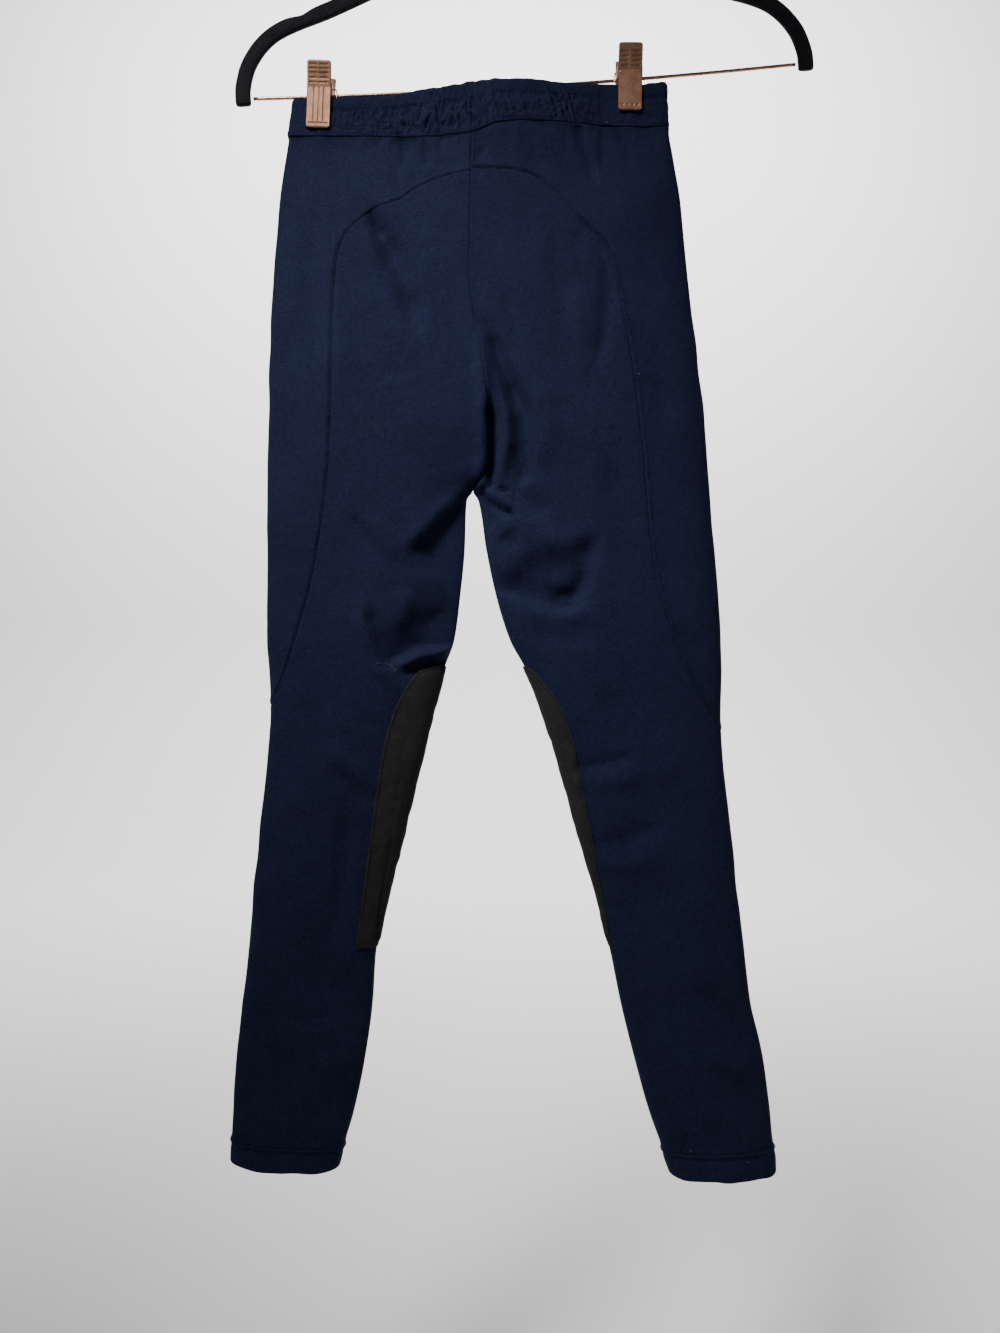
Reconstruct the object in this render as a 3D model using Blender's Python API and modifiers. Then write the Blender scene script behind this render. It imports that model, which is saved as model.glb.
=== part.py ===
# Child's pull-on riding breeches, hung by the waist from a clip hanger with a flocked frame.
#
# Metres, +Z up. The origin is the seat of the hook, where a rail carries it. +X runs to the right of
# someone who looks at the back of the garment, which faces -Y, and y = 0 is the garment's mid-plane.
# Tables and cloth functions are in millimetres, and a mesh is scaled to metres when it is made.
#
# Each half of the garment is a flattened tube. A point on it has an angle: 0 at the outer fold, negative
# round the back, positive round the front, and half a turn at the inner fold of the leg. Above the crotch
# the tube is cut by the centre seams, which is where the two halves meet.

import math

import bmesh
import bpy
import numpy as np
from mathutils import Matrix, Vector

MM = 0.001

# cloth
CLOTH = 1.6            # one layer of brushed knit
CASING = 4.0           # waistband: two layers round an elastic
HEM_CLOTH = 3.2        # turned-up hem, two layers
SUEDE = 1.2            # knee patch
SEAM_GAP = 0.15        # kept on each side of a seam
CENTRE_GAP = 0.2       # kept on each side of the centre seams, along x
LAY_GAP = 0.3          # between a panel and what lies on it
CASING_PROUD = 0.8     # the casing stands out from the panels below it
HEM_PROUD = 0.6

# heights on the garment
CROTCH = -503.0
WAIST_SEAM = -229.0    # nominal: the seam's own line is in WAIST_LINE
WAIST_TOP = -200.0
HEM_SEAM = {"left": -1001.5, "right": -1006.0}
HEM_END = {"left": -1018.5, "right": -1025.0}
HEM_TILT = {"left": -0.065, "right": 0.03}    # rise of the hem line along x
HEM_TILT_FROM = -900.0
HEM_TILT_EASE = 80.0
INSEAM_EASE = 15.0
VALLEY = 150.0         # height over which the centre seams sink in towards the crotch
FLATNESS = 2.5         # exponent of the tube's oval section
FRONT_SEAM_TOP = -24.0  # x of the centre-front seam at the waist
FRONT_SEAM_END = -27.7  # and at the crotch

# waist held in the two clips
CLIP_DEPTH = 4.8       # half thickness of the casing under a clip
WAIST_BULGE = {-1: 9.5, 1: 7.0}    # how far the slack between the clips stands out, back and front
BULGE_X = -3.0
BULGE_WIDTH = 46.0
WAIST_EASE = 70.0      # height over which the clipped shape turns into the hanging one
LINE_EASE = 29.0       # height below the waist seam over which its own line settles into level rows

# height, outer fold of the left leg, its inner edge, inner edge of the right leg, its outer fold.
# Above the crotch both inner edges are the centre-back seam.
OUTLINE = (
    (-200, -166.0, -26.5, -26.5, 121.0),
    (-229, -169.4, -28.5, -28.5, 122.6),
    (-252, -172.5, -28.5, -28.5, 127.0),
    (-279, -176.3, -29.0, -29.0, 131.7),
    (-310, -178.6, -29.5, -29.5, 134.8),
    (-340, -181.0, -30.0, -30.0, 137.8),
    (-394, -184.0, -22.0, -22.0, 144.0),
    (-448, -184.8, -15.5, -15.5, 150.2),
    (-486, -185.5, -16.2, -16.2, 153.2),
    (-503, -185.6, -27.7, -27.7, 154.5),
    (-510, -185.6, -32.3, -23.9, 155.0),
    (-548, -186.0, -33.9, -17.7, 157.8),
    (-587, -186.3, -37.7, -9.2, 160.9),
    (-618, -186.0, -42.0, 0.8, 162.9),
    (-639, -184.8, -49.5, 12.2, 163.2),
    (-672, -183.3, -58.6, 26.2, 162.6),
    (-710, -185.6, -67.8, 37.8, 164.8),
    (-764, -191.7, -80.9, 53.2, 170.9),
    (-818, -197.1, -94.0, 69.0, 176.3),
    (-860, -201.0, -102.5, 78.5, 181.0),
    (-895, -204.8, -104.7, 85.5, 185.6),
    (-941, -209.8, -111.3, 97.0, 195.6),
    (-979, -211.8, -119.7, 107.8, 200.6),
    (-1004, -213.2, -127.0, 116.8, 202.5),
    (-1018, -213.9, -130.1, 121.3, 203.8),
    (-1026, -214.2, -132.0, 124.0, 204.3),
)
OUTER_COLUMN = {"left": 1, "right": 4}
INNER_COLUMN = {"left": 2, "right": 3}

# height, half depth of the tube at the back, at the front
DEPTH = (
    (-229, 13.0, 11.0),
    (-280, 16.0, 13.0),
    (-340, 19.0, 15.0),
    (-448, 20.0, 16.0),
    (-503, 19.0, 17.0),
    (-587, 19.0, 17.0),
    (-672, 17.0, 16.0),
    (-764, 15.0, 14.0),
    (-860, 14.0, 13.0),
    (-960, 13.5, 13.0),
    (-1003, 16.0, 15.0),
    (-1024, 21.5, 19.5),
)

# x, height of the waistband's top edge, height of the seam below it
WAIST_LINE = (
    (-172, -203.4, -232.0),
    (-107, -202.8, -233.0),
    (-60, -196.5, -233.8),
    (-28, -193.8, -232.5),
    (-8, -193.0, -226.5),
    (40, -192.5, -223.6),
    (100, -192.0, -225.5),
    (124, -189.2, -224.5),
)

# the arched seam between yoke and seat, from the centre-back seam to the outer fold: height, x
ARCH = {
    "left": (
        (-262.5, -28.3),
        (-264.0, -40.0),
        (-267.0, -52.4),
        (-273.9, -67.5),
        (-283.7, -82.5),
        (-291.3, -101.4),
        (-300.3, -112.8),
        (-311.7, -124.1),
        (-330.6, -130.2),
        (-360.8, -132.4),
        (-436.0, -134.0),
        (-474.0, -135.5),
        (-512.0, -139.2),
        (-550.0, -144.5),
        (-580.0, -150.6),
        (-607.0, -158.6),
        (-633.0, -167.1),
        (-656.0, -176.3),
        (-668.0, -183.4),
    ),
    "right": (
        (-260.4, -28.3),
        (-261.6, -6.9),
        (-263.2, 8.2),
        (-265.8, 15.8),
        (-272.3, 27.1),
        (-285.2, 38.4),
        (-301.8, 53.6),
        (-315.5, 68.7),
        (-330.6, 76.2),
        (-360.8, 83.8),
        (-421.0, 94.4),
        (-459.0, 98.9),
        (-497.0, 102.7),
        (-542.0, 106.5),
        (-580.0, 112.8),
        (-611.0, 122.4),
        (-641.0, 134.0),
        (-664.0, 146.3),
        (-687.0, 162.6),
    ),
}
# below the arch the same seam runs on just inside the front: drop below the arch's end, angle
OUTSEAM = ((0.0, 0.0), (-30.0, 0.25), (-90.0, 0.45), (-360.0, 0.5))

# rows of the panels below the arch's shoulder
BODY_ROWS = (-330, -352, -376, -400, -424, -468, -484, -495, -503, -508, -518, -535, -560, -590,
             -616, -637.5, -641, -648, -661, -675, -694, -720, -762, -800, -830, -852.5, -882, -912, -943, -973)
# the seat panel is one cloth down to the hem, in three solids, because collision stays open inside short ones
SEAT_SOLIDS = (("seat_", -590), ("back_knee_", -800), ("back_calf_", -1001))    # name, row that it ends at
CUT_GAP = 0.3
SHOULDER_STEP = 15.0   # row spacing along the arch above the first of them
YOKE_ROWS = (13.0, 25.0)  # rows of the yoke between the waist seam and the arch's top, below the waist seam
PATCH_LINE_EASE = 90.0  # the seat panel's line of patch points settles this far below the arch's top
PATCH_LINE_SHARE = 0.4  # where it lies across the panel at the arch's top

# height, how far the knee patch reaches from the inner edge: left back, right back, left front, right front.
# The panels keep a line of points there, which runs on above and below the patch.
PATCH_REACH = (
    (-503.0, 34.0, 34.0, 42.0, 42.0),
    (-600.0, 24.0, 20.0, 30.0, 30.0),
    (-637.5, 8.0, 3.0, 12.0, 14.0),
    (-641.0, 17.5, 6.0, 26.0, 30.0),
    (-648.0, 22.0, 8.5, 36.0, 42.0),
    (-661.0, 26.5, 13.5, 46.0, 52.0),
    (-675.0, 29.0, 15.0, 50.0, 58.0),
    (-694.0, 30.0, 15.5, 53.0, 62.0),
    (-720.0, 28.5, 13.0, 54.0, 63.0),
    (-762.0, 24.0, 10.0, 50.0, 58.0),
    (-800.0, 19.8, 5.2, 44.0, 52.0),
    (-830.0, 17.0, 3.0, 40.0, 47.0),
    (-852.5, 15.0, 2.0, 37.0, 44.0),
    (-920.0, 22.0, 20.0, 34.0, 36.0),
    (-1000.0, 22.0, 22.0, 26.0, 26.0),
)
PATCH_TOP, PATCH_END = -637.5, -852.5
PATCH_BACK = {"left": 1, "right": 2}
PATCH_FRONT = {"left": 3, "right": 4}

FOLD_FADE = 8.0        # folds fade where the cloth is this close to the mid-plane
FOLD_LIMIT = 0.5       # and never take away more of its depth than this share
# largest folds: face (-1 back, 1 front), half width, height of the ridge (a trough is negative), route
FOLDS = (
    (-1, 9.0, -3.0, ((-103, -296), (-93, -317), (-82, -354), (-67, -392))),
    (-1, 13.0, -4.0, ((-10, -380), (8, -422), (16, -452), (17, -486))),
    (-1, 6.0, 3.0, ((-10, -394), (-4, -466), (-9, -496))),
    (-1, 13.0, -3.0, ((27, -287), (38, -362), (42, -400))),
    (-1, 12.0, -4.5, ((-34, -512), (-52, -528), (-82, -562))),
    (-1, 10.0, 3.0, ((-120, -520), (-106, -539), (-93, -562))),
    (-1, 11.0, -4.5, ((-50, -604), (-68, -616), (-90, -620))),
    (-1, 7.0, 3.5, ((-50, -626), (-68, -632), (-86, -636))),
    (-1, 15.0, -5.0, ((-4, -556), (23, -574), (56, -593))),
    (-1, 10.0, 3.0, ((68, -530), (61, -550), (50, -590))),
    (1, 14.0, -3.5, ((-60, -420), (-42, -455), (-30, -488))),
    (1, 14.0, -3.5, ((30, -410), (2, -450), (-18, -486))),
    (1, 12.0, -3.0, ((-52, -560), (-90, -590), (-120, -610))),
    (1, 12.0, -3.0, ((10, -570), (50, -600), (90, -616))),
)

# steps across a row of each panel, outside the line of patch points and inside it
FRONT_STEPS = 9
SEAT_STEPS = 5
FRONT_PATCH_STEPS = 5
SEAT_PATCH_STEPS = 4
TURN_WEIGHT = 26.0     # millimetres of row that one radian of bend counts for when columns are spread

# hanger: distances below the hook's seat and along the bar, before the tilt it hangs at
HANGER_TILT = math.radians(3.64)
BAR_DROP = 188.0
BAR_HALF = 209.0
BAR_SAG = 4.2
BAR_RADIUS = 1.25
FRAME_HALF_DEPTH = 2.8
FRAME_EDGE = 1.2
ARM_HALF_WIDTH = 5.9
NECK_EXTRA = 3.4       # the arms are this much wider, each side, where they meet
NECK_REACH = 16.0
NOTCH_AT = 167.0       # strap notch in the upper edge of each arm
NOTCH_DEPTH = 2.4
NOTCH_WIDTH = 7.0
# middle line of one arm: along, down
ARM = ((0, -73), (34, -82), (70, -95), (110, -109.5), (152, -125.4), (172, -131.6), (191, -140),
       (205, -153), (213.5, -168), (217, -184.5), (217, -193))
WIRE_RADIUS = 1.7
HOOK_RADIUS = 22.0
HOOK_FROM = -50.0      # degrees, where the stem runs into the round of the hook
HOOK_TO = 212.0
HOOK_STEP = 15.0
STEM = ((0.0, -63.4), (0.0, -55.0), (1.6, -49.5), (6.4, -43.4))

# clips
CLIP_ALONG = {"left": -157.2, "right": 80.4}
CLIP_TILT = {"left": math.radians(2.2), "right": math.radians(0.3)}
CLIP_WIDTH = 18.3
CLIP_GRIP = -27.6      # the jaw's tip below the bar
CLIP_TOP = 21.2
JAW_FACE = 6.5         # inner face of a jaw, out from the mid-plane
JAW_PLATE = 2.0
LEVER_SPREAD = 4.6     # how far a lever's top leans out
EAR = 1.2
EAR_LOW = -2.6
EAR_HIGH = 7.0
EAR_PAST = 2.8         # an ear reaches this far past the bar
EAR_HOLE = 1.6
EAR_ROOT = 0.8         # an ear starts this deep inside its plate
EAR_SHOULDER = 2.0     # height at which an ear's end starts to slope back to its plate
NEAR_EAR_INSET = 0.1   # middle of an ear, in from the side of the plate
FAR_EAR_INSET = 1.7    # those of the other jaw sit between them
LEVER_FROM = 3.0       # height at which a lever starts to lean out
PLATE_EDGE = 0.4
SPRING_OUTER = 2.5
SPRING_INNER = 1.55
SPRING_HALF = 5.6

# finishes: colour, roughness, metallic
NAVY_KNIT = ((0.008, 0.013, 0.032), 0.9, 0.0)
BROWN_SUEDE = ((0.020, 0.018, 0.017), 0.85, 0.0)
FLOCK = ((0.006, 0.006, 0.009), 0.95, 0.0)
ROSE_GOLD = ((0.62, 0.34, 0.24), 0.33, 1.0)


# ---- curves through the tables

def through(rows, column, at):
    """A column of a table read anywhere along its first column, as a smooth curve that keeps within its rows."""
    table = np.array(sorted(rows), float)
    xs, ys = table[:, 0], table[:, column]
    step = np.diff(xs)
    rise = np.diff(ys) / step
    slope = np.zeros_like(ys)
    one, two = 2 * step[1:] + step[:-1], step[1:] + 2 * step[:-1]
    turns = rise[:-1] * rise[1:] <= 0
    before, after = np.where(turns, 1, rise[:-1]), np.where(turns, 1, rise[1:])
    slope[1:-1] = np.where(turns, 0, (one + two) / (one / before + two / after))
    slope[0], slope[-1] = rise[0], rise[-1]
    at = np.clip(at, xs[0], xs[-1])
    i = np.clip(np.searchsorted(xs, at, side="right") - 1, 0, len(step) - 1)
    t = (at - xs[i]) / step[i]
    start = ys[i] * (1 + 2 * t) + slope[i] * step[i] * t
    end = ys[i + 1] * (3 - 2 * t) - slope[i + 1] * step[i] * (1 - t)
    return start * (1 - t) ** 2 + end * t * t


def ease(t):
    t = np.clip(t, 0.0, 1.0)
    return t * t * (3 - 2 * t)


# ---- the cloth's outer surface

def seam_share(v):
    """Depth of the centre seams as a share of the tube's: all of it high up, none at the crotch."""
    h = np.clip((v - CROTCH) / VALLEY, 0.0, 1.0)
    return np.sqrt(1 - (1 - h) ** 2)


def seam_angle(v):
    """Angle at which the centre seam cuts the tube: a quarter turn at the waist, half a turn below the crotch."""
    reach = (1 - seam_share(v) ** FLATNESS) ** (1 / FLATNESS)
    return np.arccos(-np.clip(reach, 0, 1) ** (FLATNESS / 2))


def inner_edge(side, v):
    """x of the leg's inner edge, and above the crotch of the centre-back seam that both legs share."""
    left, right = through(OUTLINE, INNER_COLUMN["left"], v), through(OUTLINE, INNER_COLUMN["right"], v)
    own = left if side == "left" else right
    return np.where(v > CROTCH, (left + right) / 2, own)


def tube_width(side, v, front):
    """Width of the whole oval that the half tube is cut from."""
    outer = through(OUTLINE, OUTER_COLUMN[side], v)
    inner = inner_edge(side, v)
    share = np.clip((v - WAIST_TOP) / (CROTCH - WAIST_TOP), 0, 1)
    centre_front = FRONT_SEAM_TOP + (FRONT_SEAM_END - FRONT_SEAM_TOP) * share
    inner = np.where(front & (v > CROTCH), centre_front, inner)
    inner = inner + (-CENTRE_GAP if side == "left" else CENTRE_GAP)
    reach = (1 - seam_share(v) ** FLATNESS) ** (1 / FLATNESS)
    return (inner - outer) * 2 / (1 + reach)


def fold_relief(face, x, z):
    """How far the folds of one face move the cloth outwards."""
    relief = np.zeros_like(x)
    for fold_face, width, height, route in FOLDS:
        if fold_face != face:
            continue
        nearest = np.full_like(x, 1e9)
        for (x0, z0), (x1, z1) in zip(route, route[1:]):
            dx, dz = x1 - x0, z1 - z0
            t = np.clip(((x - x0) * dx + (z - z0) * dz) / (dx * dx + dz * dz), 0, 1)
            nearest = np.minimum(nearest, np.hypot(x - x0 - t * dx, z - z0 - t * dz))
        relief += height * np.exp(-((nearest / width) ** 2))
    return relief


def cloth(side, phi, v):
    """Point of the outer surface at an angle and a height, before the waist and hem lines tilt the height."""
    phi, v = np.broadcast_arrays(np.asarray(phi, float), np.asarray(v, float))
    face = np.where(np.sin(phi) < 0, -1, 1)
    outer = through(OUTLINE, OUTER_COLUMN[side], v)
    across = np.sign(np.cos(phi)) * np.abs(np.cos(phi)) ** (2 / FLATNESS)
    x = outer + tube_width(side, v, face > 0) * (1 - across) / 2
    depth = np.where(face < 0, through(DEPTH, 1, v), through(DEPTH, 2, v))
    hanging = depth * np.abs(np.sin(phi)) ** (2 / FLATNESS)
    bulge = np.where(face < 0, WAIST_BULGE[-1], WAIST_BULGE[1]) * np.exp(-(((x - BULGE_X) / BULGE_WIDTH) ** 2))
    from_fold = np.clip(np.abs(x - outer) / CLIP_DEPTH, 0, 1)
    clipped = (CLIP_DEPTH + bulge) * np.sqrt(1 - (1 - from_fold) ** 2)
    held = ease((v - WAIST_SEAM + WAIST_EASE) / WAIST_EASE)
    out = hanging * (1 - held) + clipped * held
    relief = np.where(face < 0, fold_relief(-1, x, v), fold_relief(1, x, v))
    out = out + np.maximum(relief * np.clip(out / FOLD_FADE, 0, 1), -FOLD_LIMIT * out)
    top, seam = through(WAIST_LINE, 1, x), through(WAIST_LINE, 2, x)
    below = v + (seam - WAIST_SEAM) * np.clip((v - WAIST_SEAM + LINE_EASE) / LINE_EASE, 0, 1)
    in_band = seam + (v - WAIST_SEAM) / (WAIST_TOP - WAIST_SEAM) * (top - seam)
    middle = outer + tube_width(side, v, face > 0) / 2
    hem = HEM_TILT[side] * (x - middle) * np.clip((HEM_TILT_FROM - v) / HEM_TILT_EASE, 0, 1)
    z = np.where(v > WAIST_SEAM, in_band, below) + hem
    return np.stack([x, face * out, z], axis=-1)


def unit(vectors):
    return vectors / np.maximum(np.linalg.norm(vectors, axis=-1, keepdims=True), 1e-9)


def outward(side, phi, v):
    """Normal of the surface, from points a little way round and a little way down."""
    angle, drop = 0.004, 0.5
    round_it = cloth(side, phi + angle, v) - cloth(side, phi - angle, v)
    down_it = cloth(side, phi, v - drop) - cloth(side, phi, v + drop)
    normal = unit(np.cross(round_it, down_it))
    return normal if side == "left" else -normal


def at_x(side, x, v):
    """Angle, on the back, of the point that lies at x."""
    outer = through(OUTLINE, OUTER_COLUMN[side], v)
    across = np.clip(1 - 2 * (x - outer) / tube_width(side, v, False), -1, 1)
    return -np.arccos(np.sign(across) * np.abs(across) ** (FLATNESS / 2))


# ---- seams: each is an angle for every height

def arch_seam(side, v):
    """The arched seam on the back, then the outseam that goes on below it just inside the front."""
    first, last = ARCH[side][0][0], ARCH[side][-1][0]
    on_arch = at_x(side, through(ARCH[side], 1, v), v)
    along = through(OUTSEAM, 1, v - last)
    return np.where(v >= first, -seam_angle(v), np.where(v > last, on_arch, along))


def centre_edge(side, v, way):
    """A panel's edge at the centre seam, and below the crotch at the inseam, where it needs a gap of its own."""
    edge = lambda h: way * seam_angle(h)
    near = ease((CROTCH + 2 * INSEAM_EASE - v) / INSEAM_EASE)
    return edge(v) * (1 - near) + held_off(side, edge, v, -way) * near


def held_off(side, seam, v, way):
    """A panel's edge: the seam moved along its row so that it stays half a gap away from it."""
    here, step = 0.3, 0.004
    along = cloth(side, seam(v - here), v - here) - cloth(side, seam(v + here), v + here)
    across = cloth(side, seam(v) + step, v) - cloth(side, seam(v) - step, v)
    slant = np.linalg.norm(np.cross(unit(along), unit(across)), axis=-1)
    speed = np.linalg.norm(across, axis=-1) / (2 * step)
    return seam(v) + way * SEAM_GAP / np.maximum(slant, 0.1) / speed


def spread(side, start, end, v, steps):
    """Angles of a row's columns: even steps of length along the row, with bends counted as extra length."""
    share = np.linspace(0, 1, 241)
    phi = start[:, None] + (end - start)[:, None] * share
    points = cloth(side, phi, v[:, None])[..., :2]
    hops = np.diff(points, axis=1)
    length = np.linalg.norm(hops, axis=-1)
    heading = np.unwrap(np.arctan2(hops[..., 1], hops[..., 0]), axis=1)
    bend = np.abs(np.diff(heading, axis=1, prepend=heading[:, :1]))
    walked = np.cumsum(length + TURN_WEIGHT * bend, axis=1)
    walked = np.concatenate([np.zeros((len(v), 1)), walked], axis=1)
    wanted = np.linspace(0, 1, steps + 1)
    return np.stack([np.interp(wanted * w[-1], w, p) for w, p in zip(walked, phi)])


# ---- solids

def material(name, colour, roughness, metallic=0.0):
    made = bpy.data.materials.new(name)
    made.use_nodes = True
    shader = made.node_tree.nodes["Principled BSDF"]
    shader.inputs["Base Color"].default_value = (*colour, 1.0)
    shader.inputs["Roughness"].default_value = roughness
    shader.inputs["Metallic"].default_value = metallic
    return made


def wall(name, outer, inner, finish, ring=False):
    """A closed wall between an outer and an inner grid of points. A ring's last column meets its first."""
    rows, columns = outer.shape[:2]
    points = np.concatenate([outer.reshape(-1, 3), inner.reshape(-1, 3)]) * MM
    layer = rows * columns
    faces = []
    spans = columns if ring else columns - 1
    for r in range(rows - 1):
        for c in range(spans):
            a, b = r * columns + c, r * columns + (c + 1) % columns
            faces.append((a, b, b + columns, a + columns))
            faces.append((a + layer, a + columns + layer, b + columns + layer, b + layer))
    for c in range(spans):
        for r in (0, rows - 1):
            a, b = r * columns + c, r * columns + (c + 1) % columns
            faces.append((a, b, b + layer, a + layer))
    if not ring:
        for r in range(rows - 1):
            for c in (0, columns - 1):
                a = r * columns + c
                faces.append((a, a + columns, a + columns + layer, a + layer))
    mesh = bpy.data.meshes.new(name)
    mesh.from_pydata([tuple(p) for p in points], [], faces)
    return finished(name, mesh, finish)


def finished(name, mesh, finish):
    """An object of the mesh, its faces turned out, shaded smooth, with its own material."""
    shape = bmesh.new()
    shape.from_mesh(mesh)
    bmesh.ops.recalc_face_normals(shape, faces=shape.faces)
    shape.to_mesh(mesh)
    shape.free()
    mesh.shade_smooth()
    mesh.set_sharp_from_angle(angle=math.radians(40))
    made = bpy.data.objects.new(name, mesh)
    parts.objects.link(made)
    colour, roughness, metallic = finish
    mesh.materials.append(material(name, colour, roughness, metallic))
    return made


def cloth_wall(name, side, phi, v, low, high, finish, ring=False):
    """A wall whose faces are the cloth's surface moved out by low and by high."""
    grid = cloth(side, phi, v)
    normal = outward(side, phi, v)
    return wall(name, grid + normal * high, grid + normal * low, finish, ring)


def panel_rows(side):
    """Heights of the rows of both panels: close together round the arch's shoulder, then BODY_ROWS."""
    first = ARCH[side][0][0]
    z = np.linspace(first, BODY_ROWS[0], 400)
    x = through(ARCH[side], 1, z)
    walked = np.concatenate([[0], np.cumsum(np.hypot(np.diff(x), np.diff(z)))])
    count = int(round(walked[-1] / SHOULDER_STEP))
    shoulder = np.interp(np.linspace(0, walked[-1], count + 1), walked, z)
    shoulder[1] = min(shoulder[1], first - 2 * LAY_GAP)
    return shoulder, np.concatenate([shoulder[1:-1], BODY_ROWS, [HEM_SEAM[side] + SEAM_GAP]])


def patch_line(side, v, columns):
    """Angle, on the back, of the line of points that the knee patch ends at."""
    way = -1 if side == "left" else 1
    return at_x(side, inner_edge(side, v) + way * through(PATCH_REACH, columns[side], v), v)


def joined_spread(side, start, middle, end, v, steps):
    """A row spread on both sides of a middle line, which gets a column of its own."""
    first = spread(side, start, middle, v, steps[0])
    return np.concatenate([first[:, :-1], spread(side, middle, end, v, steps[1])], axis=1)


def front_angles(side, v):
    """Columns of the front panel, from the arched seam round the side to the centre front or the inseam."""
    start = held_off(side, lambda h: arch_seam(side, h), v, 1)
    end = centre_edge(side, v, 1)
    return joined_spread(side, start, -patch_line(side, v, PATCH_FRONT), end, v, (FRONT_STEPS, FRONT_PATCH_STEPS))


def seat_angles(side, v):
    """Columns of the seat panel, from the centre back or the inseam to the arched seam."""
    start = centre_edge(side, v, -1)
    end = held_off(side, lambda h: arch_seam(side, h + LAY_GAP), v, -1)
    first = ARCH[side][0][0]
    share = ease((first - v) / PATCH_LINE_EASE)
    middle = patch_line(side, v, PATCH_BACK) * share + (start + (end - start) * PATCH_LINE_SHARE) * (1 - share)
    return joined_spread(side, start, middle, end, v, (SEAT_PATCH_STEPS, SEAT_STEPS))


def front_panel(side):
    """Front of the leg, the side of the hip and the yoke on the back, in one piece."""
    shoulder, lower = panel_rows(side)
    v = np.concatenate([[WAIST_SEAM - SEAM_GAP], WAIST_SEAM - np.array(YOKE_ROWS), shoulder[:1], lower])
    phi = front_angles(side, v)
    cloth_wall("front_" + side, side, phi, v[:, None], -CLOTH, 0.0, NAVY_KNIT)


def seat_panel(side):
    """Seat inside the arch, going on as the back of the leg: one cloth, parted at two rows."""
    v = panel_rows(side)[1]
    phi = seat_angles(side, v)
    first = 0
    for name, end in SEAT_SOLIDS:
        last = int(np.argmin(np.abs(v - end)))
        rows = v[first:last + 1].copy()
        rows[0] -= CUT_GAP / 2 if first else 0.0
        rows[-1] += CUT_GAP / 2 if last < len(v) - 1 else 0.0
        cloth_wall(name + side, side, phi[first:last + 1], rows[:, None], -CLOTH, 0.0, NAVY_KNIT)
        first = last


def waistband(side):
    """Elastic casing from the centre-back seam round to the centre front, on the front panel's columns."""
    v = np.array([WAIST_TOP, (WAIST_TOP + WAIST_SEAM) / 2, WAIST_SEAM + SEAM_GAP])
    phi = front_angles(side, np.full(len(v), WAIST_SEAM - SEAM_GAP))
    inset = CASING_PROUD - CASING
    cloth_wall("waistband_" + side, side, phi, v[:, None], inset, CASING_PROUD, NAVY_KNIT)


def hem(side):
    """Turned-up hem, a ring round the ankle, on the columns of the two panels above it."""
    top, end = HEM_SEAM[side], HEM_END[side]
    v = np.array([top - SEAM_GAP, (top + end) / 2, end])
    at_seam = np.full(len(v), top + SEAM_GAP)
    outseam = arch_seam(side, at_seam)[:, None]
    front = front_angles(side, at_seam)[:, 1:-1]
    back = seat_angles(side, at_seam)[:, 1:-1] + 2 * math.pi
    phi = np.concatenate([outseam, front, np.full((len(v), 1), math.pi), back], axis=1)
    inset = HEM_PROUD - HEM_CLOTH
    cloth_wall("hem_" + side, side, phi, v[:, None], inset, HEM_PROUD, NAVY_KNIT, ring=True)


def knee_patch(side):
    """Suede patch over the inseam: the points of both panels inside the patch line, moved out."""
    v = np.array([row for row in BODY_ROWS if PATCH_END <= row <= PATCH_TOP])
    front = front_angles(side, v)[:, FRONT_STEPS:-1]
    back = seat_angles(side, v)[:, 1:SEAT_PATCH_STEPS + 1] + 2 * math.pi
    phi = np.concatenate([front, np.full((len(v), 1), math.pi), back], axis=1)
    cloth_wall("knee_patch_" + side, side, phi, v[:, None], LAY_GAP, LAY_GAP + SUEDE, BROWN_SUEDE)


# ---- hanger

def hung(along, drop):
    """A point of the hanger, given along the bar and below the hook's seat, at the tilt it hangs at."""
    return Matrix.Rotation(-HANGER_TILT, 3, "Y") @ Vector((along * MM, 0.0, drop * MM))


def mesh_of(maker):
    """The maker's evaluated mesh with loose caps welded, and the maker removed."""
    view = bpy.context.evaluated_depsgraph_get()
    mesh = bpy.data.meshes.new_from_object(maker.evaluated_get(view))
    mesh.transform(maker.matrix_world)
    shape = bmesh.new()
    shape.from_mesh(mesh)
    bmesh.ops.remove_doubles(shape, verts=shape.verts, dist=0.02 * MM)
    shape.to_mesh(mesh)
    shape.free()
    bpy.data.objects.remove(maker)
    return mesh


def placed(data, matrix=None):
    maker = bpy.data.objects.new("maker", data)
    parts.objects.link(maker)
    if matrix is not None:
        maker.matrix_world = matrix
    bpy.context.view_layer.update()
    return maker


def wire(name, points, radius, finish):
    """A round wire along a list of points, with closed ends."""
    curve = bpy.data.curves.new(name, "CURVE")
    curve.dimensions = "3D"
    curve.bevel_depth = radius * MM
    curve.bevel_resolution = 2
    curve.use_fill_caps = True
    spline = curve.splines.new("POLY")
    spline.points.add(len(points) - 1)
    for slot, point in zip(spline.points, points):
        slot.co = (*point, 1.0)
    return finished(name, mesh_of(placed(curve)), finish)


def flat_outline(points, half_thickness, edge=0.0):
    """The mesh of a flat outline in X and Y, made solid along Z, with rounded edges if edge is given."""
    curve = bpy.data.curves.new("outline", "CURVE")
    curve.dimensions = "2D"
    curve.fill_mode = "BOTH"
    curve.extrude = (half_thickness - edge) * MM
    curve.bevel_depth = edge * MM
    curve.bevel_resolution = 1
    curve.offset = -edge * MM
    spline = curve.splines.new("POLY")
    spline.points.add(len(points) - 1)
    spline.use_cyclic_u = True
    for slot, (a, b) in zip(spline.points, points):
        slot.co = (a * MM, b * MM, 0.0, 1.0)
    return curve


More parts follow.
